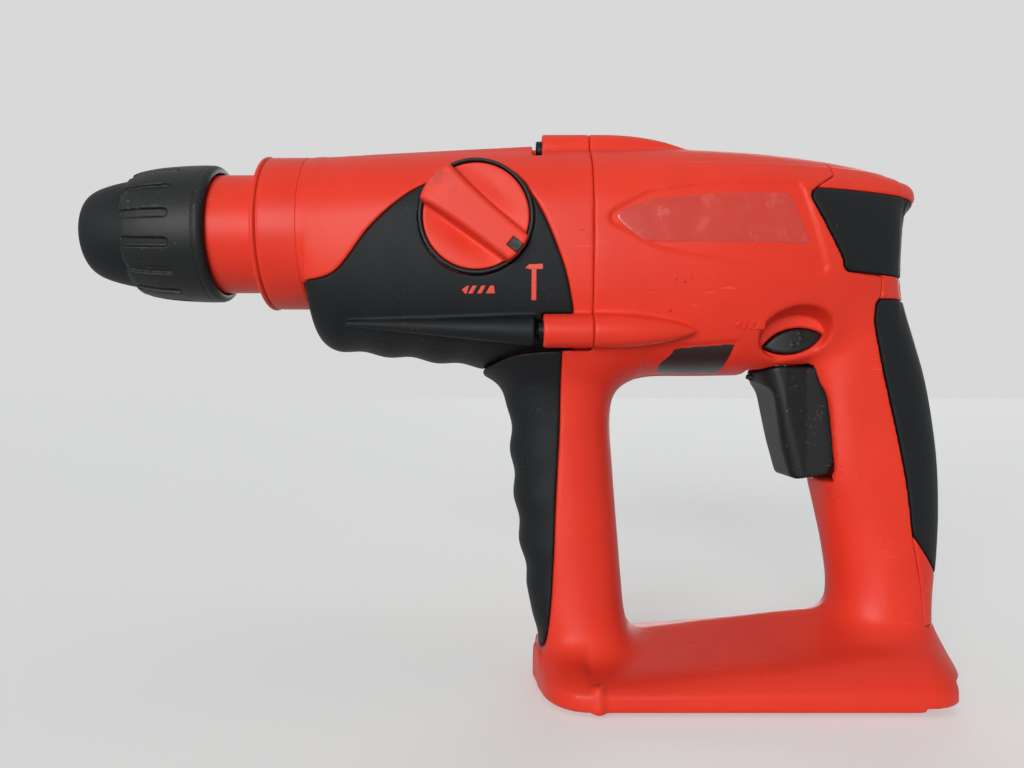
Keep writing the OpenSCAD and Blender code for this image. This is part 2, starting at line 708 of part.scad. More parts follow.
// Slide channel under the foot with a rail groove along each side
slide_x = bow_x + 22;
rail_groove = 3;
rail_low = 3.5;
rail_high = 7.5;
module slide_channel() {
  block([slide_x, -slide_w / 2, foot_floor - 5], [back_x + 9, slide_w / 2, foot_floor + slide_depth]);
  block(
    [slide_x, -slide_w / 2 - rail_groove, foot_floor + rail_low],
    [back_x + 9, slide_w / 2 + rail_groove, foot_floor + rail_high]
  );
  block([stern_x - 20, -reach_y, foot_floor - 5], [back_x + 9, reach_y, foot_floor + 2.4]);
  block([stern_x - 6, -reach_y, foot_floor - 5], [back_x + 9, reach_y, foot_floor + slide_depth]);
  block([bow_x - 9, -reach_y, foot_floor - 5], [back_x + 9, reach_y, foot_floor]);
}

// Shallow name field and rating-plate field on the left flank
field_depth = 0.7;
name_field = concat(
  arc([seam_x + 8.2, -0.6], 3, 225, 110, 4),
  through([[seam_x + 18, 8.2], [seam_x + 43.5, 11.6], [seam_x + 68, 12.2]], 2),
  arc([seam_x + 70, 10.5], 1.8, 80, 10, 3),
  arc([seam_x + 78, -16], 2.6, 0, -100, 4),
  through([[seam_x + 57.5, -17], [seam_x + 23.5, -11], [seam_x + 10.9, -5.1]], 2)
);
plate_field = [
  [seam_x + 18, gap_top - 5], [seam_x + 18.6, gap_top + 9.7],
  [seam_x + 51.3, gap_top + 12], [seam_x + 48, gap_top - 5]
];
module field(outline) {
  difference() {
    translate([0, -reach_y / 2, 0]) across(outline, reach_y);
    body_form(field_depth, seam_x - 5, grip_x + 20);
  }
}

// Nub and crease on the foot's flanks
module foot_nubs() {
  for (side = [-1, 1]) hull() {
    translate([bow_x + 20, side * (foot_half - 1.2), foot_floor + 0.8]) cylinder(h = 1, r = 2.6, $fn = 24);
    translate([bow_x + 20, side * (foot_half - 1.6), foot_floor + 7]) sphere(r = 2.4, $fn = 16);
  }
}

module main_housing() {
  bay_end = motor_x + motor_length + 1.5;
  color(red) moulding() difference() {
    union() {
      body_form(0, seam_x, body_end);
      intersection() {
        union() {
          body_form(0, bow_x - 30, seam_x + 1);
          front_form();
        }
        union() {
          below_handle_line();
          block([seam_x, -reach_y, foot_floor], [back_x, reach_y, 0]);
        }
      }
      grip_form();
      foot_form();
      foot_nubs();
      boss_noses();
    }
    behind_rear_seam();
    front_grip_room();
    on_axis(seam_x - 1, motor_z)
      cylinder(h = bay_end - seam_x + 1, r = snug(motor_d / 2 + seat_gap), $fn = skin_fn);
    screw_holes();
    grip_cavity();
    trigger_bay();
    translate([pivot[0], 0, pivot[1]]) rotate([90, 0, 0])
      cylinder(h = pin_length + 0.4, r = pin_r + seat_gap, center = true, $fn = 24);
    button_room();
    slide_channel();
    contact_room();
    field(name_field);
    field(plate_field);
  }
}

module rear_shell() {
  color(red) moulding() difference() {
    intersection() {
      rear_form();
      behind_rear_seam(seat_gap);
    }
    difference() {
      union() {
        saddle_zone();
        palm_zone();
      }
      rear_core(grip_inset);
    }
    grip_cavity();
    on_axis(seam_x, motor_z)
      cylinder(h = motor_x - seam_x + motor_length + 2, r = snug(motor_d / 2 + 1), $fn = skin_fn);
  }
}

module rear_saddle_pad() {
  color(black) moulding() difference() {
    intersection() {
      rear_form();
      saddle_zone(seat_gap);
      behind_rear_seam(seat_gap);
    }
    rear_core(grip_skin);
  }
}

module rear_grip_pad() {
  color(black) moulding() difference() {
    intersection() {
      rear_form();
      palm_zone(seat_gap);
      behind_rear_seam(seat_gap);
    }
    rear_core(grip_skin);
  }
}

// Soft front grip over the front handle, from the chin down to the bow of the foot
front_edge = through([
  [bow_x + 8.2, gap_top + 12], [bow_x + 8, gap_top - 17], [bow_x + 6.8, gap_top - 43],
  [bow_x + 5.4, gap_floor + 16], [bow_x + 3.6, gap_floor - 3], [bow_x + 2, gap_floor - 9]
]);
module front_zone(gap = 0) {
  translate([gap, 0, 0])
    across(concat(front_edge, [[bow_x - 60, gap_floor - 9], [bow_x - 60, gap_top + 12]]));
}
module front_skin() {
  front_form();
  body_form(0, bow_x - 30, seam_x + 1);
}
module front_backing(inset) {
  front_core(inset);
  body_core(inset, bow_x - 30, seam_x + 1);
}
module front_grip_room() {
  difference() {
    front_zone(seat_gap);
    front_backing(grip_inset);
    block([bow_x - 60, -reach_y, foot_floor], [bow_x + 20, reach_y, gap_floor - 8]);
  }
}
module front_grip() {
  color(black) moulding() difference() {
    intersection() {
      front_skin();
      front_zone();
      below_handle_line();
      block([bow_x - 60, -reach_y, gap_floor - 8 + seat_gap], [seam_x, reach_y, 0]);
    }
    front_backing(grip_skin);
    translate([0, 0, seat_gap]) difference() {
      block([bow_x - 60, -reach_y, gap_top - 10], [seam_x, reach_y, 0]);
      below_handle_line();
    }
  }
}

module housing_screws() {
  hex_r = 1.6;
  color(black) each_screw() translate([0, 0, screw_x]) difference() {
    union() {
      cylinder(h = head_length, r = head_r);
      cylinder(h = head_length + shank_length, r = shank_r);
    }
    translate([0, 0, -1]) cylinder(h = 3.5, r = hex_r, $fn = 6);
  }
}

// Spindle: tool holder and hammer tube in one piece
holder_r = 10.5;
holder_x = 3;
bore_r = bit_bore_d / 2;
journal_r = 12.5;
journal_x = seal_x;
tube_x = spindle_bearing_x + spindle_bearing_length + 1;
bolt_x = rim_x - 5;
bolt_r = 6.5;
bolt_seat_x = bolt_x + 18;
bolt_seat_r = 8.5;
piston_x = bolt_seat_x + 16;
ball_r = 3.5;
ball_x = nose_length + 12;
ball_offset = holder_r - ball_r - 0.05;
module tool_holder() {
  color(steel) difference() {
    on_axis() rotate_extrude() polygon([
      [bore_r, holder_x],
      [holder_r, holder_x],
      [holder_r, journal_x],
      [journal_r, journal_x],
      [journal_r, tube_x],
      [tube_r, tube_x],
      [tube_r, tube_end_x],
      [piston_bore_r, tube_end_x],
      [piston_bore_r, piston_x],
      [bolt_seat_r, piston_x],
      [bolt_seat_r, bolt_seat_x],
      [bolt_r, bolt_seat_x],
      [bolt_r, bolt_x],
      [bore_r + 0.3, bolt_x],
      [bore_r + 0.3, bit_guide_length],
      [bore_r, bit_guide_length]
    ]);
    for (side = [-1, 1]) translate([ball_x, 0, 0]) rotate([90 * side, 0, 0])
      cylinder(h = holder_r + 1, r = ball_r + 0.1);
  }
}

// Domed rubber nose cap pressed over the front of the tool holder
nose_r = nose_d / 2;
mouth_r = 10;
spigot_r = nose_r - 3;
spigot_length = 5;
module nose_cap() {
  dome = 2.3;
  color(black) on_axis() rotate_extrude() polygon(concat(
    [[bore_r, 0]],
    [for (i = [0 : 12])
      let (x = nose_length * (1 - cos(7.5 * i)))
      [mouth_r + (nose_r - mouth_r) * pow(1 - pow((nose_length - x) / nose_length, dome), 1 / dome), x]],
    [
      [spigot_r, nose_length],
      [spigot_r, nose_length + spigot_length],
      [holder_r + press_gap, nose_length + spigot_length],
      [holder_r + press_gap, holder_x],
      [bore_r, holder_x]
    ]
  ));
}

module locking_balls() {
  color(bright) for (side = [-1, 1]) translate([ball_x, side * ball_offset, 0]) sphere(r = ball_r);
}

// Lock ring that the sleeve carries over the balls, and the spring that pushes it forward
lock_r = 15.5;
module lock_ring() {
  color(steel) ring(lock_x, lock_length, lock_r, holder_r + run_gap);
}
washer_length = 1.5;
washer_x = journal_x - washer_length;
module spring_washer() {
  color(steel) ring(washer_x, washer_length, 14.5, holder_r + press_gap);
}
spring_wire = 1.3;
spring_r = 12.4;
spring_coils = 3.5;
module sleeve_spring() {
  sides = 5;
  turns = spring_coils * 8;
  low = lock_x + lock_length + spring_wire / 2 + 0.2;
  high = washer_x - spring_wire / 2 - 0.2;
  color(bright) skin([
    for (i = [0 : turns])
      let (a = 45 * i, x = low + (high - low) * i / turns)
      [for (k = [0 : sides - 1])
        let (b = 360 * k / sides, r = spring_r + spring_wire / 2 * cos(b))
        [x + spring_wire / 2 * sin(b), r * cos(a), r * sin(a)]]
  ]);
}

// Grip sleeve: slotted at the front, smooth behind, with a rolled rear rim over the neck
module chuck_sleeve() {
  r = sleeve_d / 2;
  slot_length = 19;
  slot_w = 3;
  slot_depth = 1;
  draft = 0.04;
  color(black) difference() {
    on_axis() rotate_extrude() polygon(concat(
      [[spigot_r + part_gap, nose_length], [r - 4.2, nose_length], [r - 3.4, nose_length + 0.9]],
      through([
        [r - 2.6, nose_length + 4], [r - 1.2, nose_length + 10], [r - 0.4, nose_length + 18],
        [r, nose_length + 25]
      ]),
      arc([r - 2.6, rim_x - 2.6], 2.6, 0, 90),
      [
        [neck_r + 0.6, rim_x],
        [neck_r + 0.6, web_x + sleeve_web],
        [spring_r + 1.6 + draft, web_x + sleeve_web],
        [spring_r + 1.6, web_x],
        [lock_r + press_gap, web_x],
        [lock_r + press_gap + draft, lock_x - 0.5],
        [spigot_r + part_gap, lock_x - 0.5]
      ]
    ));
    for (i = [0 : sleeve_slots - 1]) rotate([360 * i / sleeve_slots + 7, 0, 0])
      translate([nose_length, 0, 0]) {
        block([-1, -slot_w / 2, r - 3.4 - slot_depth], [slot_length - slot_w / 2, slot_w / 2, r + 1]);
        translate([slot_length - slot_w / 2, 0, r - 3.4 - slot_depth])
          cylinder(h = 6, r = slot_w / 2);
      }
  }
}

module shaft_seal() {
  color(black) ring(seal_x + 0.2, seal_length - 0.2, seal_r, journal_r + run_gap);
}
module spindle_bearing() {
  color(bright) ring(spindle_bearing_x, spindle_bearing_length, spindle_bearing_r, journal_r + run_gap);
}
module tube_bearing() {
  color(bright) ring(tube_bearing_x + 0.1, tube_bearing_length - 0.2, tube_bearing_r, tube_r + run_gap);
}
module lay_front_bearing() {
  color(bright) ring(lay_front_x, bearing_length, bearing_r, shaft_r + run_gap, lay_z);
}
module lay_rear_bearing() {
  color(bright) ring(plate_x, bearing_length, bearing_r, shaft_r + run_gap, lay_z);
}
module motor_front_bearing() {
  color(bright) ring(plate_x, bearing_length, bearing_r, shaft_r + run_gap, motor_z);
}
module bearing_plate() {
  color(steel) difference() {
    ring(plate_x, bearing_length, plate_r, 0, plate_z);
    for (z = [lay_z, motor_z]) on_axis(plate_x - 1, z)
      cylinder(h = bearing_length + 2, r = bearing_r + press_gap);
  }
}

// Spur gear with straight-flanked teeth; tooth 0 points down when phase is 0
module gear(x, face, teeth, bore, z = 0, phase = 0) {
  pitch_r = tooth_module * teeth / 2;
  backlash = 0.42;
  root = pitch_r - 1.2 * tooth_module;
  tip = tip_r(teeth);
  function half_tooth(r) =
    (PI * tooth_module / 4 - backlash / 2 - (r - pitch_r) * tan(20)) / r * 180 / PI;
  on_axis(x, z) rotate(phase) linear_extrude(face) difference() {
    polygon([
      for (i = [0 : teeth - 1])
        let (a = 360 * i / teeth)
        each [
          root * [cos(a - half_tooth(root)), sin(a - half_tooth(root))],
          tip * [cos(a - half_tooth(tip)), sin(a - half_tooth(tip))],
          tip * [cos(a + half_tooth(tip)), sin(a + half_tooth(tip))],
          root * [cos(a + half_tooth(root)), sin(a + half_tooth(root))]
        ]
    ]);
    if (bore > 0) circle(r = bore);
  }
}
module spindle_gear() {
  color(steel) gear(gear_x, gear_face, spindle_teeth, tube_r + press_gap);
}
module countershaft() {
  color(steel) {
    ring(lay_front_x + 0.5, seam_x - lay_front_x - 1, shaft_r, 0, lay_z);
    gear(gear_x - 1, gear_face + 2, lay_pinion_teeth, 0, lay_z, 180 / lay_pinion_teeth);
  }
}
module countershaft_gear() {
  color(steel) gear(lay_gear_x, lay_gear_face, lay_gear_teeth, shaft_r + press_gap, lay_z);
}

// Wobble drive: a ball-shaped hub with a slanted race, and the ring whose finger drives the piston
hub_r = 10.6;
hub_length = 15;
ring_r = 14;
ring_length = 9;
finger_r = 3;
knuckle_r = 4;
wobble_swing = 13;
module wobble_hub() {
  color(steel) difference() {
    intersection() {
      translate([wobble_x, 0, lay_z]) sphere(r = hub_r);
      ring(wobble_x - hub_length / 2, hub_length, hub_r, shaft_r + press_gap, lay_z);
    }
    translate([wobble_x, 0, lay_z]) rotate([0, 0, wobble_swing]) rotate([0, 90, 0])
      rotate_extrude() translate([hub_r + 0.6, 0]) circle(r = 1.8);
  }
}
module wobble_ring() {
  color(steel) {
    difference() {
      ring(wobble_x - ring_length / 2, ring_length, ring_r, 0, lay_z);
      translate([wobble_x, 0, lay_z]) sphere(r = hub_r + part_gap);
    }
    translate([wobble_x, 0, lay_z + ring_r - 1.4]) cylinder(h = -lay_z - ring_r + 1.4, r = finger_r);
    translate([wobble_x, 0, 0]) sphere(r = knuckle_r);
  }
}

// Hollow piston with a rear yoke for the finger, free striker and impact bolt
piston_r = piston_bore_r - run_gap;
cylinder_r = piston_r - 2.4;
piston_front_x = piston_x + 9;
piston_wall_x = wobble_x - 24;
striker_length = 20;
module piston() {
  yoke_end = wobble_x + knuckle_r + 4;
  color(bright) difference() {
    on_axis(piston_front_x) cylinder(h = yoke_end - piston_front_x, r = piston_r);
    on_axis(piston_front_x - 1) cylinder(h = piston_wall_x - piston_front_x + 1, r = cylinder_r);
    block([tube_end_x - 8, -20, -20], [yoke_end + 1, 20, -piston_r + 3.4]);
    translate([wobble_x, 0, -piston_r]) cylinder(h = piston_r + knuckle_r + 3, r = knuckle_r + 0.15);
    translate([wobble_x, 0, -piston_r]) cylinder(h = piston_r - 1.2, r1 = 6.8, r2 = knuckle_r + 0.15);
  }
}
module striker() {
  tip_radius = 5;
  tip_length = 10;
  color(steel) on_axis(piston_front_x + 9) difference() {
    union() {
      cylinder(h = striker_length, r = cylinder_r - run_gap);
      translate([0, 0, -tip_length]) cylinder(h = tip_length + 1, r = tip_radius);
    }
    translate([0, 0, striker_length - 6]) difference() {
      cylinder(h = 2, r = cylinder_r + 1);
      translate([0, 0, -1]) cylinder(h = 4, r = cylinder_r - 1.5);
    }
  }
}
module impact_bolt() {
  color(steel) {
    ring(bolt_x + 4, bolt_seat_x - bolt_x + 4, bolt_r - run_gap, 0);
    ring(bolt_seat_x + 4, 8, bolt_seat_r - run_gap, 0);
  }
}

// Motor: can with magnets, wound rotor on its own shaft, fan, commutator and brushes
motor_x = seam_x + 3;
motor_r = motor_d / 2;
can_wall = 2.5;
rear_wall = 3;
motor_end = motor_x + motor_length;
rear_bearing_r = 7;
rear_shaft_r = 3;
stack_x = motor_x + 10;
stack_length = motor_length - 28;
magnet_r = motor_r - can_wall - press_gap;
magnet_thick = 3.8;
rotor_r = magnet_r - magnet_thick - 0.8;
commutator_x = stack_x + stack_length + 5.5;
commutator_length = 8;
commutator_r = 8;
module motor_can() {
  color(steel) on_axis(motor_x, motor_z) difference() {
    cylinder(h = motor_length, r = motor_r);
    translate([0, 0, -1]) cylinder(h = motor_length - rear_wall + 1, r = motor_r - can_wall);
    cylinder(h = motor_length + 1, r = rear_bearing_r + press_gap);
  }
}
module motor_magnets() {
  color(magnet_grey) for (side = [0, 180]) on_axis(stack_x, motor_z) rotate(side - 68)
    rotate_extrude(angle = 136) translate([magnet_r - magnet_thick, 0]) square([magnet_thick, stack_length]);
}
module rotor_shaft() {
  color(steel) {
    gear(lay_gear_x - 1, plate_x - lay_gear_x, motor_pinion_teeth, 0, motor_z, 180 / motor_pinion_teeth);
    ring(plate_x - 2, motor_end - rear_wall - plate_x, shaft_r, 0, motor_z);
    ring(motor_end - rear_wall - 3, rear_wall + 2.5, rear_shaft_r, 0, motor_z);
  }
}
module rotor_stack() {
  slots = 12;
  color(steel) on_axis(stack_x, motor_z) linear_extrude(stack_length) difference() {
    circle(r = rotor_r);
    circle(r = shaft_r + press_gap);
    for (i = [0 : slots - 1]) rotate(360 * i / slots) translate([rotor_r - 5, -1]) square([6, 2]);
  }
}
module rotor_windings() {
  overhang = 3.6;
  color(copper) for (end = [0, 1])
    on_axis(end == 0 ? stack_x : stack_x + stack_length, motor_z) scale([1, 1, end == 0 ? -1 : 1])
      rotate_extrude() polygon(concat(
        [[6, 0], [rotor_r - 2, 0]],
        arc([rotor_r - 4, overhang - 2], 2, 0, 90),
        [[6, overhang]]
      ));
}
module commutator() {
  color(copper) ring(commutator_x, commutator_length, commutator_r, shaft_r + press_gap, motor_z);
}
module motor_fan() {
  fan_r = motor_r - can_wall - 2;
  blades = 11;
  color(black) {
    ring(motor_x + 0.5, 5, 8, shaft_r + press_gap, motor_z);
    ring(motor_x + 4, 1.5, fan_r, shaft_r + press_gap, motor_z);
    for (i = [0 : blades - 1]) on_axis(motor_x + 0.5, motor_z) rotate(360 * i / blades)
      translate([7.5, -0.6, 0]) cube([fan_r - 7.5 - 0.3, 1.2, 4]);
  }
}
brush_x = commutator_x + 1.5;
brush_w = 5;
module brush_plate() {
  color(black) ring(brush_x + brush_w + 0.1, 1.6, motor_r - can_wall - press_gap, commutator_r + 1, motor_z);
}
module carbon_brushes() {
  color(magnet_grey) difference() {
    block(
      [brush_x, -commutator_r - 10, motor_z - 3],
      [brush_x + brush_w, commutator_r + 10, motor_z + 3]
    );
    on_axis(brush_x - 1, motor_z) cylinder(h = brush_w + 2, r = commutator_r + run_gap);
  }
}
module motor_rear_bearing() {
  color(bright) ring(motor_end - rear_wall, rear_wall, rear_bearing_r, rear_shaft_r + run_gap, motor_z);
}

// Trigger switch in the rear grip
switch_half = grip_half - cavity_wall - 2.3;
switch_x = grip_x + 17.5;
module switch_body() {
  low = [switch_x, -switch_half, gap_top - 42];
  high = [switch_x + 13.0, switch_half, gap_top + 1];
  color(black) {
    block(low, high);
    translate([switch_x - 1.2, 0, gap_top - 20]) rotate([0, 90, 0]) cylinder(h = 2, r = 3.2);
  }
}

// Trigger that swings on a pin at its top
pin_r = 2;
pin_length = 2 * trigger_half + 5;
trigger_outline = concat(
  arc([grip_x - 7.4, trigger_floor + 3], 3, 200, 270, 3),
  arc([grip_x + 3.6, trigger_floor + 3.2], 3.2, 270, 350, 3),
  [[grip_x + 7.6, gap_top - 30], [grip_x + 8.6, gap_top - 4]],
  arc(pivot, 5, -20, 150),
  through([
    [pivot[0] - 8, gap_top + 2.6], [grip_x - 9, gap_top + 2.2], [grip_x - 15.5, gap_top - 0.5],
    [grip_x - 18.2, gap_top - 7], [grip_x - 16.6, gap_top - 17], [grip_x - 12.6, trigger_floor + 8]
  ])
);
trigger_rake = 12;
module trigger() {
  corner = 6;
  depth = 34;
  color(black) difference() {
    intersection() {
      across(trigger_outline, trigger_w);
      translate([grip_x - 18.4, 0, gap_top - 7]) rotate([0, -trigger_rake, 0])
        linear_extrude(160, center = true) polygon(concat(
          [[2 * depth, trigger_half + 1], [corner, trigger_half + 0.02]],
          arc([corner, trigger_half - corner + 0.02], corner, 90, 180),
          arc([corner, corner - trigger_half - 0.02], corner, 180, 270),
          [[2 * depth, -trigger_half - 1]]
        ));
    }
    translate([pivot[0], 0, pivot[1]]) rotate([90, 0, 0])
      cylinder(h = trigger_w + 2, r = pin_r + run_gap, center = true);
  }
}
module trigger_pin() {
  color(steel) translate([pivot[0], 0, pivot[1]]) rotate([90, 0, 0])
    cylinder(h = pin_length, r = pin_r, center = true);
}

module direction_button() {
  color(black) button_place() linear_extrude(2 * button_half, center = true) lens();
}

// Battery contacts hung from the roof of the slide channel
contact_half = 15;
contact_length = 16;
contact_drop = 6.5;
module contact_room() {
  block(
    [slide_x + 2 - seat_gap, -contact_half - seat_gap, foot_floor],
    [slide_x + 2 + contact_length + seat_gap, contact_half + seat_gap, foot_floor + slide_depth + 3]
  );
}
module contact_block() {
  roof = foot_floor + slide_depth;
  color(black) difference() {
    block(
      [slide_x + 2, -contact_half, roof - contact_drop],
      [slide_x + 2 + contact_length, contact_half, roof + 3 - seat_gap]
    );
    contact_slots(0.02);
  }
}
module contact_slots(gap = 0) {
  roof = foot_floor + slide_depth;
  for (y = [-10.5, -3.5, 3.5, 10.5])
    block(
      [slide_x + 10 - gap, y - 0.5 - gap, roof - 5.5 - gap],
      [slide_x + 2 + contact_length + 9, y + 0.5 + gap, roof - 0.8 + gap]
    );
}
module contact_blades() {
  color(brass) contact_slots();
}

// Mode knob: a disc with a diagonal grip bar that points at the chosen mode
pointer_angle = -38.7;
disc_height = 3.5;
bar_height = 8.6;
module knob_bezel() {
  color(black) knob_place() difference() {
    cylinder(h = 3.4, r = bezel_r);
    translate([0, 0, -1]) cylinder(h = 6, r = knob_r + part_gap);
  }
}
pointer_half = 1.7;
pointer_length = 4;
bar_outline = concat(
  through([[-knob_r + 1, 7], [-knob_r + 6, 6.2], [-2, 5.4], [knob_r - 2, 5.1], [knob_r + 1.4, 5.1]]),
  through([[knob_r + 1.4, -5.1], [knob_r - 2, -5.1], [-2, -5.4], [-knob_r + 6, -6.2], [-knob_r + 1, -7]])
);
module bar_shape() {
  intersection() {
    polygon(bar_outline);
    circle(r = knob_r + 1.6);
    translate([knob_r, 0]) circle(r = 2 * knob_r);
  }
}
module mode_knob() {
  color(red) knob_place() difference() {
    union() {
      translate([0, 0, part_gap]) cylinder(h = disc_height, r = knob_r);
      rotate(pointer_angle) {
        translate([0, 0, part_gap]) linear_extrude(bar_height - part_gap) intersection() {
          bar_shape();
          circle(r = knob_r);
        }
        translate([0, 0, 3.4 + part_gap]) linear_extrude(bar_height - 3.4 - part_gap) bar_shape();
      }
    }
    rotate(pointer_angle) pointer_seat(press_gap);
    translate([0, 0, -1]) cylinder(h = 3, r = selector_r - 1 + press_gap);
  }
}
module pointer_seat(gap = 0) {
  translate([knob_r + 1.4 - pointer_length, -pointer_half - gap, bar_height - 2.4])
    cube([pointer_length + 2, 2 * (pointer_half + gap), 4]);
}
module knob_pointer() {
  color(black) knob_place() rotate(pointer_angle) intersection() {
    translate([knob_r + 1.4 - pointer_length + press_gap, -pointer_half, bar_height - 2.4 + press_gap])
      cube([pointer_length, 2 * pointer_half, 2.2]);
    cylinder(h = 20, r = knob_r + 1.3);
  }
}
module selector_shaft() {
  crank = 2.6;
  color(steel) knob_place() {
    translate([0, 0, -12]) cylinder(h = 12 + part_gap, r = selector_r);
    cylinder(h = 1.8, r = selector_r - 1);
    rotate(pointer_angle) translate([crank, 0, -16]) cylinder(h = 5, r = 2);
  }
}

nose_collar();
gear_housing();
gear_shroud();
main_housing();
rear_shell();
rear_saddle_pad();
rear_grip_pad();
front_grip();
housing_screws();
knob_bezel();
shaft_seal();
spindle_bearing();
tube_bearing();
bearing_plate();
lay_front_bearing();
lay_rear_bearing();
motor_front_bearing();
motor_can();
motor_magnets();
brush_plate();
carbon_brushes();
motor_rear_bearing();
switch_body();
contact_block();
contact_blades();
trigger_pin();
tool_holder();
nose_cap();
locking_balls();
spring_washer();
sleeve_spring();
spindle_gear();
chuck_sleeve();
lock_ring();
impact_bolt();
striker();
piston();
countershaft();
countershaft_gear();
wobble_hub();
wobble_ring();
rotor_shaft();
rotor_stack();
rotor_windings();
commutator();
motor_fan();
mode_knob();
knob_pointer();
selector_shaft();
trigger();
direction_button();
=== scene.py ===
import math
import bmesh
import bpy
import numpy as np
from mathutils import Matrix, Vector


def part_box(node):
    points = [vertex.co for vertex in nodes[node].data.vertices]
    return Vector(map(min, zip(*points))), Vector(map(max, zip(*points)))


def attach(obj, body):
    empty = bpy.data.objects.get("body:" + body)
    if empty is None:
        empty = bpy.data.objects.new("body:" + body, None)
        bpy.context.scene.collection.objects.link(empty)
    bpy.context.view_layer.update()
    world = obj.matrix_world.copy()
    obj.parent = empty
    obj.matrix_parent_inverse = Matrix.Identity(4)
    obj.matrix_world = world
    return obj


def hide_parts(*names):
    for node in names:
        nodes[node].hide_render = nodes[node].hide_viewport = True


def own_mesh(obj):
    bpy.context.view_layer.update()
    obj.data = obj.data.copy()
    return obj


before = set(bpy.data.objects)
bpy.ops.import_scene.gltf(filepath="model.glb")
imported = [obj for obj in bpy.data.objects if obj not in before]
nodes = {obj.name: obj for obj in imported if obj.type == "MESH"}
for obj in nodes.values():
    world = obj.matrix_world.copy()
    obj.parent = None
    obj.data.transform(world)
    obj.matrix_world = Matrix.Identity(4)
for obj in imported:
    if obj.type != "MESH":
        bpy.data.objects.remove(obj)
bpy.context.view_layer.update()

import openvdb

scene = bpy.context.scene


# Main housing: one injection moulding in red ABS that carries the motor body, the D-shaped
# handle and the battery foot. It is drawn here as smooth sections through stations, melted
# together where the real mould has fillets, and meshed at a fraction of a millimetre.
case_x, chin_x, seam_x, grip_x = 84.0, 86.5, 187.0, 271.0
back_x, bow_x, knob_x = 319.0, 168.5, 147.3
gap_top, gap_floor, foot_floor = -53.5, -146.5, -167.8
case_r, half_w, rise, drop, chin = 28.2, 36.0, 30.6, 53.5, 44.7
grip_half, front_half, foot_half = 16.5, 15.75, 37.5
heel_x = bow_x + 30.4
body_end = grip_x + 29


def about(base, *rows):
    """Rows of a table or points of an outline, given as offsets from named sizes."""
    return [tuple(b + value for b, value in zip(base, row)) for row in rows]


body_rows = about(
    (chin_x, case_r, case_r, chin, 0, 0),
    (0, -0.3, -0.3, -8.5, 2, 2.2), (2.2, 0.4, 0.1, -4, 2, 2.2), (5.5, 1, 0.2, -1.3, 2, 2.25),
    (10.5, 1.8, 0.4, 0, 2, 2.3))
body_rows += about((chin_x, half_w, case_r, chin, 0, 0), (24, -4.4, 0.9, 1.5, 2.05, 2.4))
body_rows += about(
    (chin_x, half_w, rise, chin, 0, 0), (42, -2.6, -1, 3.6, 2.1, 2.45), (61, -1.2, -0.5, 6, 2.15, 2.5))
body_rows += about(
    (seam_x, half_w, rise, drop, 0, 0),
    (-20, -0.4, -0.2, -1.2, 2.2, 2.5), (0, 0, 0, 0, 2.25, 2.55), (23, 0.2, -0.4, 0, 2.3, 2.6))
body_rows += about(
    (grip_x, half_w, rise, drop, 0, 0),
    (-40, -0.2, -1.3, 0, 2.35, 2.6), (-21, -1.8, -2.6, -0.5, 2.4, 2.6), (-4, -4.8, -4.3, -2.5, 2.4, 2.5),
    (9, -8, -6, -5.5, 2.35, 2.4), (19, -11.5, -7.8, -9.5, 2.3, 2.3), (25.5, -15.5, -10.4, -16, 2.2, 2.2),
    (29, -21, -15, -26, 2.1, 2.1))
grip_rows = about(
    (0, grip_x, back_x, grip_half, 0, 0),
    (foot_floor + 7, 0, -2.5, 6, 2.4, 2.4), (gap_floor - 4, 0, -3, 3.2, 2.3, 2.4),
    (gap_floor + 3.5, 6.4, -3.2, 1.2, 2.2, 2.4), (gap_floor + 12, 8.5, -2.6, 0.3, 2.1, 2.3),
    (gap_floor + 27, 7, -0.8, 0, 2.1, 2.2), (gap_floor + 43, 4.4, 0, 0, 2.7, 2.2),
    (gap_top - 31.5, 2.2, -0.6, 0.3, 4.6, 2.2), (gap_top - 14.5, 0.8, -2.8, 0.8, 4.6, 2.2),
    (gap_top - 0.5, -3, -5.6, 1.8, 3.2, 2.2), (-42, -9, -9.2, 3.3, 2.1, 2.2),
    (-30, -15, -13, 4.7, 2.1, 2.2), (-18, -19, -16.2, 5.8, 2.1, 2.2), (-8, -21, -17.4, 6.4, 2.1, 2.2),
    (0, -21, -16, 6.6, 2.1, 2.2), (6, -20, -13, 6.2, 2.1, 2.2), (11, -18, -9.6, 5, 2.1, 2.3),
    (15.5, -14, -10.4, 2.6, 2.1, 2.3), (18.6, -7, -14, -2.5, 2.1, 2.2), (20.2, 3, -22, -8, 2.1, 2.1))
front_rows = about(
    (0, bow_x, heel_x, front_half, 0, 0),
    (foot_floor + 7, 0.5, 13, 5.5, 2.3, 2.3), (gap_floor - 4.5, 0.8, 6, 2.8, 2.3, 2.2),
    (gap_floor + 4, -1.4, 3, 1.3, 2.3, 2.1), (gap_floor + 17, -4, 1.6, 0.4, 2.2, 2.1),
    (gap_floor + 32, -6.5, 0.4, 0, 2.2, 2.1), (gap_floor + 47, -8.3, -0.8, -0.1, 2.2, 2.1),
    (gap_top - 31.5, -9.6, -1.8, 0, 2.2, 2.1), (gap_top - 18.5, -10.3, -2.6, 0.6, 2.2, 2.1),
    (gap_top - 9.5, -11.5, -1.8, 1.6, 2.2, 2.1), (gap_top - 2.5, -14.5, 1.4, 3.6, 2.2, 2.2),
    (gap_top + 4.5, -21.5, 8, 7.2, 2.2, 2.2), (gap_top + 10.5, -29, 17, 11, 2.2, 2.2))
stern_x, bow_length, stern_length = back_x - 1, 20.0, 22.0
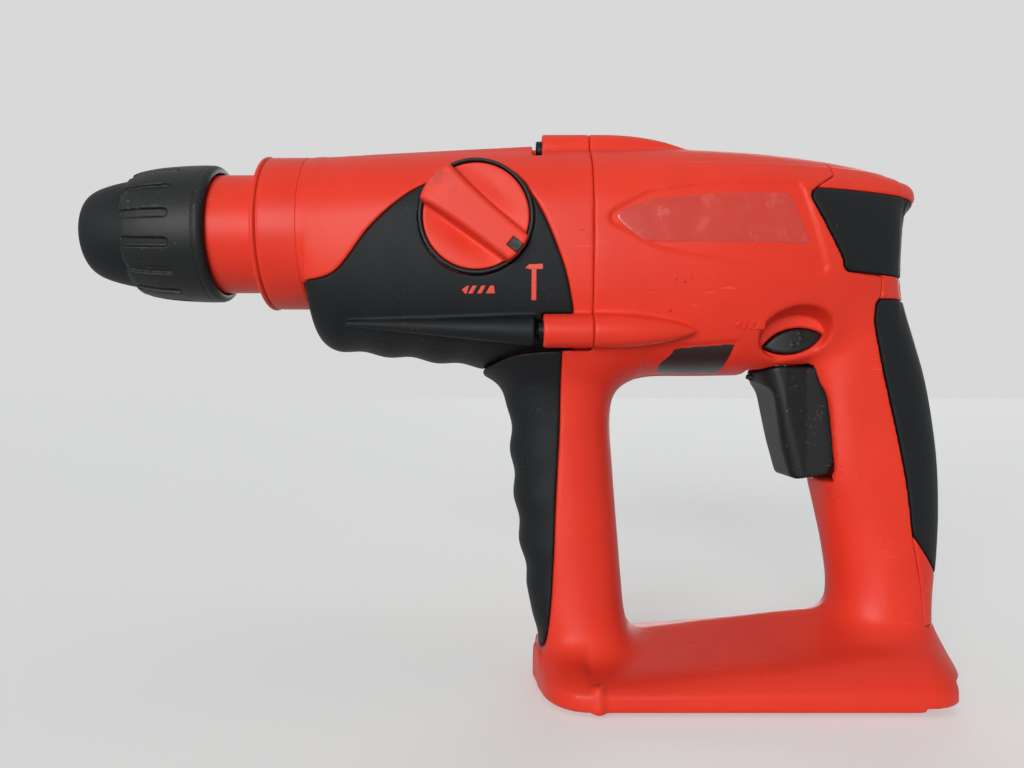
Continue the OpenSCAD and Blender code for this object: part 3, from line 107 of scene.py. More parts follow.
foot_crown = about((bow_x, gap_floor), (0, -8), (6, -4.6), (16, -3.4), (33, -3)) + about(
    (grip_x, gap_floor), (-32, 1.4), (3, 5)) + about((stern_x, gap_floor), (-16, 5), (-8, 2), (0, -4))


def stations(rows, t):
    """Columns of a station table at each place t, smooth through every row."""
    rows = np.array(rows, float)
    x = rows[:, 0]
    t = np.clip(np.asarray(t, float), x[0], x[-1])
    k = np.arange(len(rows))
    a, b = np.maximum(k - 1, 0), np.minimum(k + 1, len(rows) - 1)
    m = (rows[b] - rows[a]) / (x[b] - x[a])[:, None]
    i = np.clip(np.searchsorted(x, t, side="right") - 1, 0, len(rows) - 2)
    h = (x[i + 1] - x[i])[:, None]
    u = (t - x[i])[:, None] / h
    p = rows[i] * (2 * u**3 - 3 * u**2 + 1) + m[i] * h * (u**3 - 2 * u**2 + u)
    p += rows[i + 1] * (3 * u**2 - 2 * u**3) + m[i + 1] * h * (u**3 - u**2)
    return p[:, 1:].T.astype(np.float32)


class Room:
    """A box of sample points in millimetres, wide enough to hold one piece."""

    def __init__(self, low, high, step):
        self.low, self.step = np.array(low, float), step
        self.axes = [np.arange(a, b + step, step, dtype=np.float32) for a, b in zip(low, high)]
        self.x = self.axes[0][:, None, None]
        self.y = self.axes[1][None, :, None]
        self.z = self.axes[2][None, None, :]


def even(room, level):
    """Turns a level function that is 1 on the surface into millimetres from it."""
    gx, gy, gz = np.gradient(level, room.step)
    return (level - 1) / np.sqrt(gx * gx + gy * gy + gz * gz + 1e-6)


def rounded(y, reach, n):
    """Level of half a section: 1 on its outline, square-cornered as n grows."""
    return (y**n + np.maximum(reach, 0) ** n) ** (1 / n)


def lying(room, rows, centre=0.0, trim=None):
    """Form with sections square to X: half width, rise, drop and two squarenesses."""
    w, up, down, n, m = (c[:, None, None] for c in stations(rows, room.axes[0]))
    if trim is not None:
        down = down - trim[:, None, None]
    y, z = np.abs(room.y) / w, room.z - centre
    level = np.where(z >= 0, rounded(y, z / up, n), rounded(y, -z / down, m))
    return even(room, level.astype(np.float32))


def standing(room, rows, trim=None):
    """Form with sections square to Z: front, back, half width and two squarenesses."""
    front, back, w, n, m = (c[None, None, :] for c in stations(rows, room.axes[2]))
    if trim is not None:
        front = front + trim[None, None, :]
    mid, reach = (front + back) / 2, (back - front) / 2
    y, x = np.abs(room.y) / w, (room.x - mid) / reach
    level = np.where(x < 0, rounded(y, -x, n), rounded(y, x, m))
    return even(room, level.astype(np.float32))


def join(a, b, fillet):
    """Two forms in one moulding, with a fillet between them."""
    h = np.maximum(fillet - np.abs(a - b), 0)
    return np.minimum(a, b) - h * h / (4 * fillet)


def trim(a, b, edge):
    """What is inside both forms, with a rounded edge."""
    return -join(-a, -b, edge)


def cut(form, *tools):
    """Takes tools out of a form, each with the rounded edge that it leaves, or a sharp one for 0."""
    for tool, edge in tools:
        form = trim(form, -tool, edge) if edge else np.maximum(form, -tool)
    return form


def side_view(room, points):
    """Distance from a closed outline in the side view, less than 0 inside it."""
    x, z = room.axes[0][:, None], room.axes[2][None, :]
    far, inside = None, np.zeros((x.size, z.size), bool)
    points = np.array(points, np.float32)
    for a, b in zip(points, np.roll(points, -1, 0)):
        e = b - a
        t = np.clip(((x - a[0]) * e[0] + (z - a[1]) * e[1]) / max(e @ e, 1e-9), 0, 1)
        d = (x - a[0] - t * e[0]) ** 2 + (z - a[1] - t * e[1]) ** 2
        far = d if far is None else np.minimum(far, d)
        if a[1] != b[1]:
            inside ^= ((a[1] > z) != (b[1] > z)) & (x < e[0] * (z - a[1]) / e[1] + a[0])
    return (np.where(inside, -1, 1) * np.sqrt(far)).astype(np.float32)[:, None, :]


def through(points, steps=6):
    """Smooth curve through a few points of an outline."""
    p = np.array(points, float)
    out = []
    for i in range(len(p) - 1):
        a, d = p[max(i - 1, 0)], p[min(i + 2, len(p) - 1)]
        for u in np.arange(steps) / steps:
            m, n = (p[i + 1] - a) / 2, (d - p[i]) / 2
            out.append(p[i] * (2 * u**3 - 3 * u**2 + 1) + m * (u**3 - 2 * u**2 + u)
                       + p[i + 1] * (3 * u**2 - 2 * u**3) + n * (u**3 - u**2))
    return [tuple(q) for q in out] + [tuple(p[-1])]


def arc(centre, r, start, end, steps=8):
    """Points along a round corner, from one angle to another in degrees."""
    turn = np.radians(np.linspace(start, end, steps + 1))
    return [(centre[0] + r * math.cos(a), centre[1] + r * math.sin(a)) for a in turn]


def rod(room, axis, spot, r, start, end):
    """Round bar along X or Y; spot gives its other two coordinates."""
    along = room.x if axis == "x" else room.y
    u, v = (room.y, room.z) if axis == "x" else (room.x, room.z)
    radial = np.sqrt((u - spot[0]) ** 2 + (v - spot[1]) ** 2) - r
    return np.maximum(radial, np.maximum(start - along, along - end))


def slab(room, low, high):
    """Square block between two corners."""
    d = None
    for c, a, b in zip((room.x, room.y, room.z), low, high):
        e = np.maximum(a - c, c - b)
        d = e if d is None else np.maximum(d, e)
    return d


def taper(room, a, b, r_a, r_b):
    """Round cone with ball ends from a to b."""
    a, e = np.array(a, float), np.array(b, float) - np.array(a, float)
    px, py, pz = room.x - a[0], room.y - a[1], room.z - a[2]
    t = np.clip((px * e[0] + py * e[1] + pz * e[2]) / (e @ e), 0, 1)
    reach = np.sqrt((px - t * e[0]) ** 2 + (py - t * e[1]) ** 2 + (pz - t * e[2]) ** 2)
    return reach - (r_a + (r_b - r_a) * t)


def sample(field, spots):
    """Value of a field between its sample points."""
    top = np.array(field.shape) - 1.001
    spots = np.clip(spots, 0, top)
    i = spots.astype(int)
    f = spots - i
    total = 0
    for dx in (0, 1):
        for dy in (0, 1):
            for dz in (0, 1):
                weight = np.abs(1 - dx - f[:, 0]) * np.abs(1 - dy - f[:, 1]) * np.abs(1 - dz - f[:, 2])
                total = total + weight * field[i[:, 0] + dx, i[:, 1] + dy, i[:, 2] + dz]
    return total


def stand(name, data):
    """Sets an object with its data into the scene."""
    piece = bpy.data.objects.new(name, data)
    scene.collection.objects.link(piece)
    return piece


def mould(name, room, field, limit=180000):
    """Closed mesh of a form, in metres, drawn onto the true surface and thinned to limit triangles."""
    field = np.ascontiguousarray(np.broadcast_to(field, [a.size for a in room.axes]), np.float32)
    field = np.pad(field[1:-1, 1:-1, 1:-1], 1, constant_values=room.step)
    band = 3 * room.step
    grid = openvdb.FloatGrid(band)
    grid.copyFromArray(np.clip(field, -band, band))
    spots, quads = grid.convertToQuads(0.0)
    spots = spots.astype(float)
    for _ in range(2):
        value = sample(field, spots)
        slope = np.stack([
            sample(field, spots + 0.5 * e) - sample(field, spots - 0.5 * e) for e in np.eye(3)
        ], 1)
        size = np.maximum((slope**2).sum(1), 0.05 * room.step**2)
        spots -= np.clip(0.8 * value / size, -0.6, 0.6)[:, None] * slope
    mesh = bpy.data.meshes.new(name)
    mesh.vertices.add(len(spots))
    mesh.vertices.foreach_set("co", ((spots * room.step + room.low) * 0.001).ravel())
    mesh.loops.add(quads.size)
    mesh.loops.foreach_set("vertex_index", quads.astype(np.int32).ravel())
    mesh.polygons.add(len(quads))
    mesh.polygons.foreach_set("loop_start", np.arange(0, quads.size, 4, dtype=np.int32))
    mesh.polygons.foreach_set("use_smooth", np.ones(len(quads), bool))
    mesh.update(calc_edges=True)
    piece = stand(name, mesh)
    if 2 * len(quads) > limit:
        thin = piece.modifiers.new("thin", "DECIMATE")
        thin.ratio = limit / (2 * len(quads))
        settle(piece)
    piece.data.validate()
    return piece


def settle(piece):
    """Replaces a piece's modifiers by the plain mesh that they make."""
    made = bpy.data.meshes.new_from_object(piece.evaluated_get(bpy.context.evaluated_depsgraph_get()))
    made.name = piece.name
    piece.modifiers.clear()
    piece.data = made
    piece.data.polygons.foreach_set("use_smooth", np.ones(len(made.polygons), bool))


def linear(code, share=1.0):
    """sRGB hex value as a linear colour, or a darker share of it."""
    out = []
    for k in (1, 3, 5):
        c = int(code[k:k + 2], 16) / 255
        out.append(c / 12.92 if c <= 0.04045 else ((c + 0.055) / 1.055) ** 2.4)
    return (*(share * c for c in out), 1.0)


def add(tree, kind, inputs=None, stops=None, **settings):
    """Adds one node, sets its fields and a colour ramp's two stops, and fills or links its inputs."""
    made = tree.nodes.new(kind)
    for key, value in settings.items():
        setattr(made, key, value)
    for place, stop in enumerate(stops or ()):
        made.color_ramp.elements[place].position = stop
    for key, value in (inputs or {}).items():
        if isinstance(value, bpy.types.NodeSocket):
            tree.links.new(value, made.inputs[key])
        else:
            made.inputs[key].default_value = value
    return made


def new_material(name):
    """Empty material, its tree, and the piece's own coordinates in metres."""
    made = bpy.data.materials.new(name)
    made.use_nodes = True
    made.node_tree.nodes.clear()
    return made, made.node_tree, add(made.node_tree, "ShaderNodeTexCoord").outputs["Object"]


def blotches(t, where, scale, detail, stops, roughness=0.5):
    """Patches or specks with soft edges: what of a noise lies above two stops."""
    noise = add(t, "ShaderNodeTexNoise", {
        "Vector": where, "Scale": scale, "Detail": detail, "Roughness": roughness})
    return add(t, "ShaderNodeValToRGB", {"Fac": noise.outputs["Fac"]}, stops).outputs["Color"]


def clouded(t, where, scale, detail, low, high, roughness=0.5):
    """Base that drifts between two linear colours, and the drift itself."""
    cloud = add(t, "ShaderNodeTexNoise", {
        "Vector": where, "Scale": scale, "Detail": detail, "Roughness": roughness}).outputs["Fac"]
    base = add(t, "ShaderNodeMix", {"Factor": cloud, "A": low, "B": high}, data_type="RGBA")
    return base.outputs["Result"], cloud


def lay_over(t, base, code, share, *patterns):
    """Lays a colour over the base where all the patterns meet, at a share of full cover."""
    cover = share
    for pattern in patterns:
        cover = add(t, "ShaderNodeMath", {0: cover, 1: pattern}, operation="MULTIPLY").outputs[0]
    mixed = add(t, "ShaderNodeMix", {"Factor": cover, "A": base, "B": linear(code)}, data_type="RGBA")
    return mixed.outputs["Result"]


def finish(t, where, colour, cloud, gloss, grain, depth, specular=0.5):
    """Ends a plastic or rubber: a roughness that drifts, the mould's fine grain, and the shader."""
    rough = add(t, "ShaderNodeMapRange", {"Value": cloud, "To Min": gloss[0], "To Max": gloss[1]})
    pits = add(t, "ShaderNodeTexNoise", {"Vector": where, "Scale": grain, "Detail": 2.0})
    bump = add(t, "ShaderNodeBump", {"Height": pits.outputs["Fac"], "Strength": depth, "Distance": 0.0002})
    shade = add(t, "ShaderNodeBsdfPrincipled", {
        "Base Color": colour, "Roughness": rough.outputs["Result"], "Normal": bump.outputs["Normal"],
        "Specular IOR Level": specular})
    add(t, "ShaderNodeOutputMaterial", {"Surface": shade.outputs[0]})


def moulded_abs():
    """Satin ABS out of a fine spark-eroded mould: even red, soft highlights, workshop scuffs and grime."""
    made, t, where = new_material("moulded_red_abs")
    colour, tone = clouded(t, where, 45.0, 3.0, linear("#D5301F"), linear("#E43D29"))
    # Patches about 30 mm wide where handling has left specks of 0.6 mm, drawn a little coarse to show
    patch = blotches(t, where, 30.0, 2.0, (0.52, 0.7))
    colour = lay_over(t, colour, "#6E2219", 1.0, patch, blotches(t, where, 700.0, 2.0, (0.69, 0.76)))
    # Fine pale scratches drawn out along the tool, about 0.4 mm wide and 20 mm long
    drawn = add(t, "ShaderNodeMapping", {
        "Vector": where, "Scale": (60.0, 900.0, 900.0), "Rotation": (0.0, 0.35, 0.0)}).outputs[0]
    colour = lay_over(t, colour, "#F28274", 0.35, patch, blotches(t, drawn, 1.0, 1.0, (0.70, 0.76)))
    finish(t, where, colour, tone, (0.36, 0.50), 1900.0, 0.10, 0.22)
    return made


red_abs = moulded_abs()


def waves(t, low, high, count):
    """Depth of a row of shallow finger waves between two places."""
    depth = 0.6 * (1 - np.cos(2 * count * math.pi * (t - low) / (high - low)))
    return np.where((t > low) & (t < high), depth, 0).astype(np.float32)


def body_form(room, waved=False):
    """The long body over the drilling axis, with finger waves under the chin if asked."""
    wave = waves(room.axes[0], chin_x + 7, seam_x - 38, 3) if waved else None
    return np.maximum(lying(room, body_rows, trim=wave), room.x - body_end)


def grip_form(room):
    """The rear grip, up to the saddle for the web of the thumb."""
    return trim(standing(room, grip_rows), room.z - 20.6, 6)


def front_form(room, waved=False):
    """The front handle, with finger waves down its front if asked."""
    wave = waves(room.axes[2], gap_floor + 13.2, gap_top - 10.2, 4) if waved else None
    return np.maximum(standing(room, front_rows, trim=wave), room.z - gap_top - 10.5)


def foot_form(room):
    """Boat-shaped foot: round bow, tapered stern, slanting flanks and a deck that climbs to the rear."""
    x = room.axes[0].astype(float)
    bow = np.clip((bow_x + bow_length - x) / (bow_length + 0.4), 0, 0.9999)
    stern = np.clip((x - stern_x + stern_length) / stern_length, 0, 1.2)
    plan = foot_half * (1 - bow**2.5) ** 0.4 * (1 - 0.42 * stern**3)
    crown = stations(foot_crown, x)[0]
    mid = foot_floor + 6.5
    below, top_squareness, low_squareness = (np.full_like(x, v) for v in (6.6, 1.5, 8.0))
    rows = np.stack([x, plan, crown - mid, below, top_squareness, low_squareness], 1)
    brim = np.interp(x, [bow_x + 10, bow_x + 18, bow_x + 130], [-152, -157.2, -150.5])
    brim = brim.astype(np.float32)[:, None, None]
    deck = room.z - brim - (crown[:, None, None] - brim) * (1 - np.abs(room.y) / 29)
    form = trim(lying(room, rows, centre=mid), deck * 0.95, 0.9)
    form = trim(form, foot_floor - room.z, 1.0)
    return trim(trim(form, bow_x - room.x, 3), room.x - stern_x, 3)


top_boss, low_boss = (14.5, rise - 3.1), (half_w - 4.5, -38.5)
boss_r, boss_x, screw_x = 5.8, seam_x - 17, seam_x - 19
handle_line = through(about((bow_x, gap_top), (-21, 1.8), (-8.5, 7), (5.5, 8.5)) + [(seam_x, gap_top + 8.6)])
main_zone = [(seam_x, 70)] + handle_line[::-1] + [
    (bow_x - 50, gap_top + 1.8), (bow_x - 50, foot_floor - 40), (back_x + 60, foot_floor - 40),
    (back_x + 60, 70)]
rear_curve = through([(grip_x + 16.8, -34)] + about(
    (grip_x, gap_top), (20.5, 4), (25.5, -16), (30.2, -37.5), (32.7, -57.3)))
saddle_front = arc((grip_x - 6.4, 7.6), 3, 110, 205) + [(grip_x + 2.6, -14)] + arc(
    (grip_x + 5.8, -14.5), 3.4, 200, 275)
rear_zone = about((grip_x, 0), (-1, 50), (0, 23), (0.5, 15.8), (-7, 11)) + saddle_front + about(
    (grip_x, 0), (18.4, -18.8), (18.8, -25.2), (16.8, -28.3)) + rear_curve + about(
    (grip_x, gap_floor), (36.3, 16), (37.5, 2)) + [(back_x + 40, gap_floor + 2), (back_x + 40, 50)]
front_zone = through(
    about((bow_x, gap_top), (8.2, 12), (8, -17), (6.8, -43))
    + about((bow_x, gap_floor), (5.4, 16), (3.6, -3), (2, -8))) + [
    (bow_x - 60, gap_floor - 8), (bow_x - 60, gap_top + 12)]
name_field = arc((seam_x + 8.2, -0.6), 3, 225, 110) + through(about(
    (seam_x, 0), (18, 8.2), (43.5, 11.6), (68, 12.2))) + arc(
    (seam_x + 70, 10.5), 1.8, 80, 10) + arc((seam_x + 78, -16), 2.6, 0, -100) + through(about(
        (seam_x, 0), (57.5, -17), (23.5, -11), (10.9, -5.1)))
plate_field = about((seam_x, gap_top), (18, -5), (18.6, 9.7), (51.3, 12), (48, -5))
# Depth and rim of the two shallow fields
name_sink, plate_sink = (0.9, 1.1), (0.5, 0.9)
pivot = (grip_x + 8.5, gap_top + 7.5)
trigger_floor = pivot[1] - 45.5
trigger_half, trigger_rear_half, bay_half = 13.5, 11.6, 12.2
trigger_bay = [(grip_x - 26, gap_top + 4.1)] + about(
    (grip_x, trigger_floor), (-26, -2.6), (1.5, -1.4), (6, -0.5), (14, 0.6), (16, 6)) + [
    (grip_x + 16, pivot[1])] + arc(pivot, 6, 0, 130) + [(grip_x - 4, gap_top + 4.1)]
trigger_mouth = [(grip_x - 28, gap_top - 30), (grip_x - 28, trigger_floor + 0.9)] + arc(
    (grip_x + 2, trigger_floor + 4.5), 3.6, 270, 352) + through(about(
        (grip_x, gap_top), (5.3, -31), (3.9, -16), (2.6, -7.4), (-0.2, -2.4), (-4.5, 1.6), (-9.5, 3.5),
        (-14, 3.7), (-19, 2.6), (-23, 0.4), (-25, -2)))
motor_spot, motor_r, motor_end = (0, -8), 25.2, 251.6
# The red steps in by this much under the soft grips, and the rubber is a little thinner
grip_step, rubber_wall = 2.75, 2.6
button_spot, button_tilt = (grip_x - 11.1, gap_top + 12.2), math.radians(12)
slide_x = bow_x + 22


def button_frame(room):
    """Side-view coordinates along and across the tilted direction button."""
    u, v = room.x - button_spot[0], room.z - button_spot[1]
    c, s = math.cos(button_tilt), math.sin(button_tilt)
    return u * c + v * s, v * c - u * s


def lens(u, v, length=21.7, height=8.3):
    """Outline of the direction button: two arcs that meet in points."""
    r = (length**2 / 4 + height**2 / 4) / height
    drop_v = r - height / 2
    return np.maximum(np.sqrt(u**2 + (v - drop_v) ** 2), np.sqrt(u**2 + (v + drop_v) ** 2)) - r


def grip_hollow(room, grip):
    """Room for the switch inside the rear grip, behind a wall of 5.2 mm."""
    return np.maximum(grip + 5.2, np.maximum(gap_floor + 16 - room.z, room.z + 24))


def sunk(field, zone, depth, edge):
    """Lets a field's surface down inside an outline, with a soft rim."""
    t = np.clip(0.5 - zone / edge, 0, 1)
    return field + depth * t * t * (3 - 2 * t)


def put(piece, material, body, slot, *replaced):
    """Gives a piece its material and its body, and hides the nodes that it stands for; the slot argument is not
    used.
    """
    piece.data.materials.clear()
    piece.data.materials.append(material)
    if replaced:
        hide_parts(*replaced)
    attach(piece, body)


def paint(material, *names):
    """Gives a finish to nodes whose shape is already right."""
    for name in names:
        for place in nodes[name].material_slots:
            place.material = material


room = Room((bow_x - 26, -41.6, foot_floor - 2.4), (back_x + 3, 41.6, rise + 4), 0.8)
body, grip, front = body_form(room), grip_form(room), front_form(room)
whole = join(join(join(body, grip, 4), front, 9), foot_form(room), 6)
for side in (-1, 1):
    for spot in (top_boss, low_boss):
        radius = boss_r * np.clip(1 - ((room.x - seam_x - 5) / 31).clip(0, 1) ** 2, 0.0001, 1) ** 0.8
        bullet = np.sqrt((room.y - side * spot[0]) ** 2 + (room.z - spot[1]) ** 2) - radius
        whole = join(whole, np.maximum(bullet, np.maximum(seam_x - 3 - room.x, room.x - seam_x - 36)), 1.4)
    nub_low = (bow_x + 20, side * (foot_half - 1.4), foot_floor + 2.4)
    nub_top = (bow_x + 20, side * (foot_half - 1.8), foot_floor + 8)
    whole = join(whole, taper(room, nub_low, nub_top, 2.5, 2.2), 1)
whole = trim(whole, foot_floor - room.z, 1.0)
near = room.y < 0
for field, sink in ((name_field, name_sink), (plate_field, plate_sink)):
    whole = np.where(near, sunk(whole, side_view(room, field), *sink), whole)
u, v = button_frame(room)
dish_y = 17.5
flare = 1 + 0.6 * np.clip((np.abs(room.y) - dish_y) / 20, 0, 1)
dish = np.sqrt((u / 11.6) ** 2 + ((v - 1.4) / 7.8) ** 2) / flare
whole = trim(whole, np.minimum((1 - dish) * 7, np.abs(room.y) - dish_y), 1.0)
skin = join(body, front, 9)
core = np.maximum(skin + grip_step, side_view(room, front_zone) - 3)
housing = np.minimum(trim(whole, 0.15 - side_view(room, front_zone), 0.9), core)
housing = trim(housing, side_view(room, main_zone) + 0.04, 0.4)
bay = np.maximum(side_view(room, trigger_bay), np.abs(room.y) - bay_half)
housing = cut(
    housing, (side_view(room, rear_zone) - 0.06, 0.5), (bay, 0.9), (side_view(room, trigger_mouth), 0.9),
    (grip_hollow(room, grip), 0), (rod(room, "x", motor_spot, motor_r, seam_x - 5, motor_end), 0),
    (np.maximum(lens(u, v) - 0.4, np.abs(room.y) - 40), 0))
# Battery slide: the channel, its two grooves, the lowered stern, the open end and the contact bay
channel = np.minimum.reduce([slab(room, (x, -y, low), (x_end, y, high)) for x, x_end, y, low, high in (
    (slide_x, back_x + 9, 24, foot_floor - 9, foot_floor + 9),
    (slide_x, back_x + 9, 27, foot_floor + 3.5, foot_floor + 7.5),
    (stern_x - 20, back_x + 9, 90, foot_floor - 9, foot_floor + 2.4),
    (stern_x - 6, back_x + 9, 90, foot_floor - 9, foot_floor + 9),
    (slide_x + 1.7, slide_x + 18.3, 15.3, foot_floor, foot_floor + 12.1))])
housing = cut(housing, (channel, 0.7))
put(mould("main_housing_moulding", room, housing), red_abs, "housing", "red_plastic", "main_housing")


# Drive train and motor: hardened and ground steel, ball bearings, an aluminium plate and piston,
# a copper-wound rotor between ferrite magnets. They are pressed and slid into the housings along
# the drilling axis, and keep the solids' exact shape.
def metal(name, code, rough, grain, stretch):
    """Metal with the fine lay of its last tool: turned, ground or cast."""
    made, t, where = new_material(name)
    drawn = add(t, "ShaderNodeMapping", {"Vector": where, "Scale": stretch})
    lay = add(t, "ShaderNodeTexNoise", {
        "Vector": drawn.outputs[0], "Scale": grain, "Detail": 3.0}).outputs["Fac"]
    colour, _ = clouded(t, where, 160.0, 2.0, linear(code, 0.72), linear(code))
    spread = add(t, "ShaderNodeMapRange", {"Value": lay, "To Min": rough - 0.08, "To Max": rough + 0.12})
    bump = add(t, "ShaderNodeBump", {"Height": lay, "Strength": 0.12, "Distance": 0.0001})
    shade = add(t, "ShaderNodeBsdfPrincipled", {
        "Base Color": colour, "Roughness": spread.outputs["Result"], "Normal": bump.outputs["Normal"],
        "Metallic": 1.0})
    add(t, "ShaderNodeOutputMaterial", {"Surface": shade.outputs[0]})
    return made


def dull(name, code, other, rough, grain, depth):
    """Dark plastic or sintered stock with dust in its grain."""
    made, t, where = new_material(name)
    colour, cloud = clouded(t, where, 60.0, 4.0, linear(code), linear(other))
    finish(t, where, colour, cloud, (rough - 0.08, rough + 0.1), grain, depth)
    return made


# Turned steel: rings of 0.3 mm round the axis catch the light as fine lines
turned_steel = metal("turned_oiled_steel", "#A9AEB3", 0.3, 1.0, (3000.0, 60.0, 60.0))
bearing_steel = metal("polished_bearing_steel", "#CED2D6", 0.18, 1.0, (1500.0, 40.0, 40.0))
cast_alloy = metal("die_cast_aluminium", "#B9BDC0", 0.42, 900.0, (1.0, 1.0, 1.0))
wire_copper = metal("enamelled_copper", "#B9713C", 0.32, 1.0, (900.0, 90.0, 90.0))
contact_brass = metal("nickel_brass_contact", "#C9AE68", 0.3, 1.0, (60.0, 60.0, 1500.0))
ferrite = dull("sintered_ferrite", "#34373B", "#45494E", 0.6, 1500.0, 0.3)
nylon = dull("glass_filled_nylon", "#1B1D20", "#2A2D31", 0.5, 1300.0, 0.2)
paint(turned_steel, "tool_holder", "spring_washer", "spindle_gear", "lock_ring", "impact_bolt", "striker",
      "countershaft", "countershaft_gear", "wobble_hub", "wobble_ring", "rotor_shaft", "rotor_stack",
      "selector_shaft", "trigger_pin", "motor_can")
paint(bearing_steel, "spindle_bearing", "tube_bearing", "lay_front_bearing", "lay_rear_bearing",
      "motor_front_bearing", "motor_rear_bearing", "locking_balls")
paint(cast_alloy, "bearing_plate", "piston")
paint(wire_copper, "rotor_windings", "commutator")
paint(contact_brass, "contact_blades")
paint(ferrite, "motor_magnets", "carbon_brushes")
paint(nylon, "motor_fan", "brush_plate", "switch_body", "contact_block")


# Sleeve spring: a coil of hard-drawn wire between the sleeve's web and a washer on the tool holder.
# It pushes the sleeve forward, and shortens towards the washer as the sleeve is pulled back.
def node_tree(name, *sizes):
    """Geometry tree with points in, a mesh out and a named input for each size."""
    tree = bpy.data.node_groups.new(name, "GeometryNodeTree")
    tree.interface.new_socket("Points", in_out="INPUT", socket_type="NodeSocketGeometry")
    for size in sizes:
        tree.interface.new_socket(size, in_out="INPUT", socket_type="NodeSocketFloat")
    tree.interface.new_socket("Made", in_out="OUTPUT", socket_type="NodeSocketGeometry")
    return tree, add(tree, "NodeGroupInput").outputs


def repeat(tree, given, shape, turn, material):
    """Sets one shape at every point, turned about Y, and ends the tree in a plain mesh."""
    placed = add(tree, "GeometryNodeInstanceOnPoints", {
        "Points": given["Points"], "Instance": shape, "Rotation": (0.0, turn, 0.0)}).outputs["Instances"]
    real = add(tree, "GeometryNodeRealizeInstances", {"Geometry": placed}).outputs["Geometry"]
    made = add(tree, "GeometryNodeSetMaterial", {"Geometry": real, "Material": material}).outputs["Geometry"]
    add(tree, "NodeGroupOutput", {"Made": made})


def grow(name, tree, points, sizes):
    """Plain mesh that a geometry tree makes at its points, with its sizes given by input name."""
    mesh = bpy.data.meshes.new(name)
    mesh.from_pydata(points, [], [])
    piece = stand(name, mesh)
    setter = piece.modifiers.new(name, "NODES")
    setter.node_group = tree
    for item in tree.interface.items_tree:
        if item.name in sizes:
            setter[item.identifier] = sizes[item.name]
    settle(piece)
    made = bmesh.new()
    made.from_mesh(piece.data)
    bmesh.ops.remove_doubles(made, verts=made.verts, dist=1e-6)
    bmesh.ops.recalc_face_normals(made, faces=made.faces)
    made.to_mesh(piece.data)
    made.free()
    piece.data.set_sharp_from_angle(angle=math.radians(30))
    return piece


tree, given = node_tree("coil_spring", "Coil Radius", "Wire Radius", "Coils", "Height")
coil = add(tree, "GeometryNodeCurveSpiral", {
    "Resolution": 48, "Rotations": given["Coils"], "Start Radius": given["Coil Radius"],
    "End Radius": given["Coil Radius"], "Height": given["Height"]}).outputs["Curve"]
wire = add(tree, "GeometryNodeCurvePrimitiveCircle", {
    "Resolution": 14, "Radius": given["Wire Radius"]}).outputs["Curve"]
tube = add(tree, "GeometryNodeCurveToMesh", {"Curve": coil, "Profile Curve": wire, "Fill Caps": True})
repeat(tree, given, tube.outputs["Mesh"], math.pi / 2, bearing_steel)
spring_low, spring_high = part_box("sleeve_spring")
wire_r, spring_length = 0.00065, spring_high[0] - spring_low[0]
spring_piece = grow("coil_spring", tree, [(spring_low[0] + wire_r, 0, 0)], {
    "Coil Radius": 0.0124, "Wire Radius": wire_r, "Coils": 3.5, "Height": spring_length - 2 * wire_r})
put(spring_piece, bearing_steel, "spindle", "bearing_steel", "sleeve_spring")
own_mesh(spring_piece)


# Gear housing: a second red ABS moulding that carries the drive, with two tapered ribs along its
# back and a boss for each housing screw. It is stepped in under the soft shroud by the shroud's wall.
shroud_edge = [(chin_x - 1, gap_top - 20), (chin_x - 1, -20.4)] + through(
    about((chin_x, 0), (1, -20.4), (7, -19.6), (12, -17.4), (17, -12.2))
    + about((knob_x, 0), (-36, -2.4), (-24, 8), (-14, 13.4))) + arc((knob_x, 0), 20.3, 135, 20) + through(about(
        (knob_x, 0), (20, 5.8), (24, -2), (29.5, -16), (32, -26), (33.2, -34), (33.2, -47))) + [
    (knob_x + 33.2, gap_top - 20)]
core_rows = [(x, w, up, down - 1.2, n, m) for x, w, up, down, n, m in body_rows]
rib_end, knob_floor, bezel_r = screw_x - 1, 32.0, 19.5
case_step, shroud_wall, case_bore = 2.6, 2.4, 15.7
spindle_spot, lay_spot, plate_spot = (0, 0), (0, -27), (0, -17.5)

room = Room((case_x - 2, -41, -60), (seam_x + 2, 41, 38), 0.6)
body = trim(body_form(room), chin_x - room.x, 1.0)
case = join(rod(room, "x", spindle_spot, case_r, case_x + 0.1, chin_x + 4), body, 1.0)
for side in (-1, 1):
    rib = taper(room, (chin_x + 5, side * 10.5, case_r - 5), (rib_end, side * 14.5, rise - 6.2), 1.0, 4.2)
    case = join(case, trim(rib, room.x - rib_end, 0.8), 3)
zone = side_view(room, shroud_edge)
under = np.maximum(lying(room, core_rows) + case_step, chin_x + case_step - room.x)
case = np.minimum(trim(case, 0.12 - zone, 0.8), under)
for side in (-1, 1):
    for y, z in (top_boss, low_boss):
        spot = (side * y, z)
        boss = trim(rod(room, "x", spot, boss_r, boss_x - 20, seam_x + 9), boss_x - room.x, 0.9)
        case = cut(join(case, boss, 1.2), (rod(room, "x", spot, 3.75, screw_x - 1.2, screw_x + 6.4), 0.4),
                   (rod(room, "x", spot, 2.2, screw_x, seam_x + 9), 0))
for near_y, far_y in ((-27, -9), (9, 27)):
    notch = slab(room, (rib_end - 0.3, near_y, rise - 7.2), (boss_x + 0.05, far_y, 60))
    case = cut(case, (notch, 0.4))
case = cut(
    case, (side_view(room, main_zone) - 0.04, 0.4),
    (rod(room, "y", (knob_x, 0), bezel_r + 0.2, -90, -knob_floor), 0.4),
    (rod(room, "y", (knob_x, 0), 5.4, -60, -10), 0))
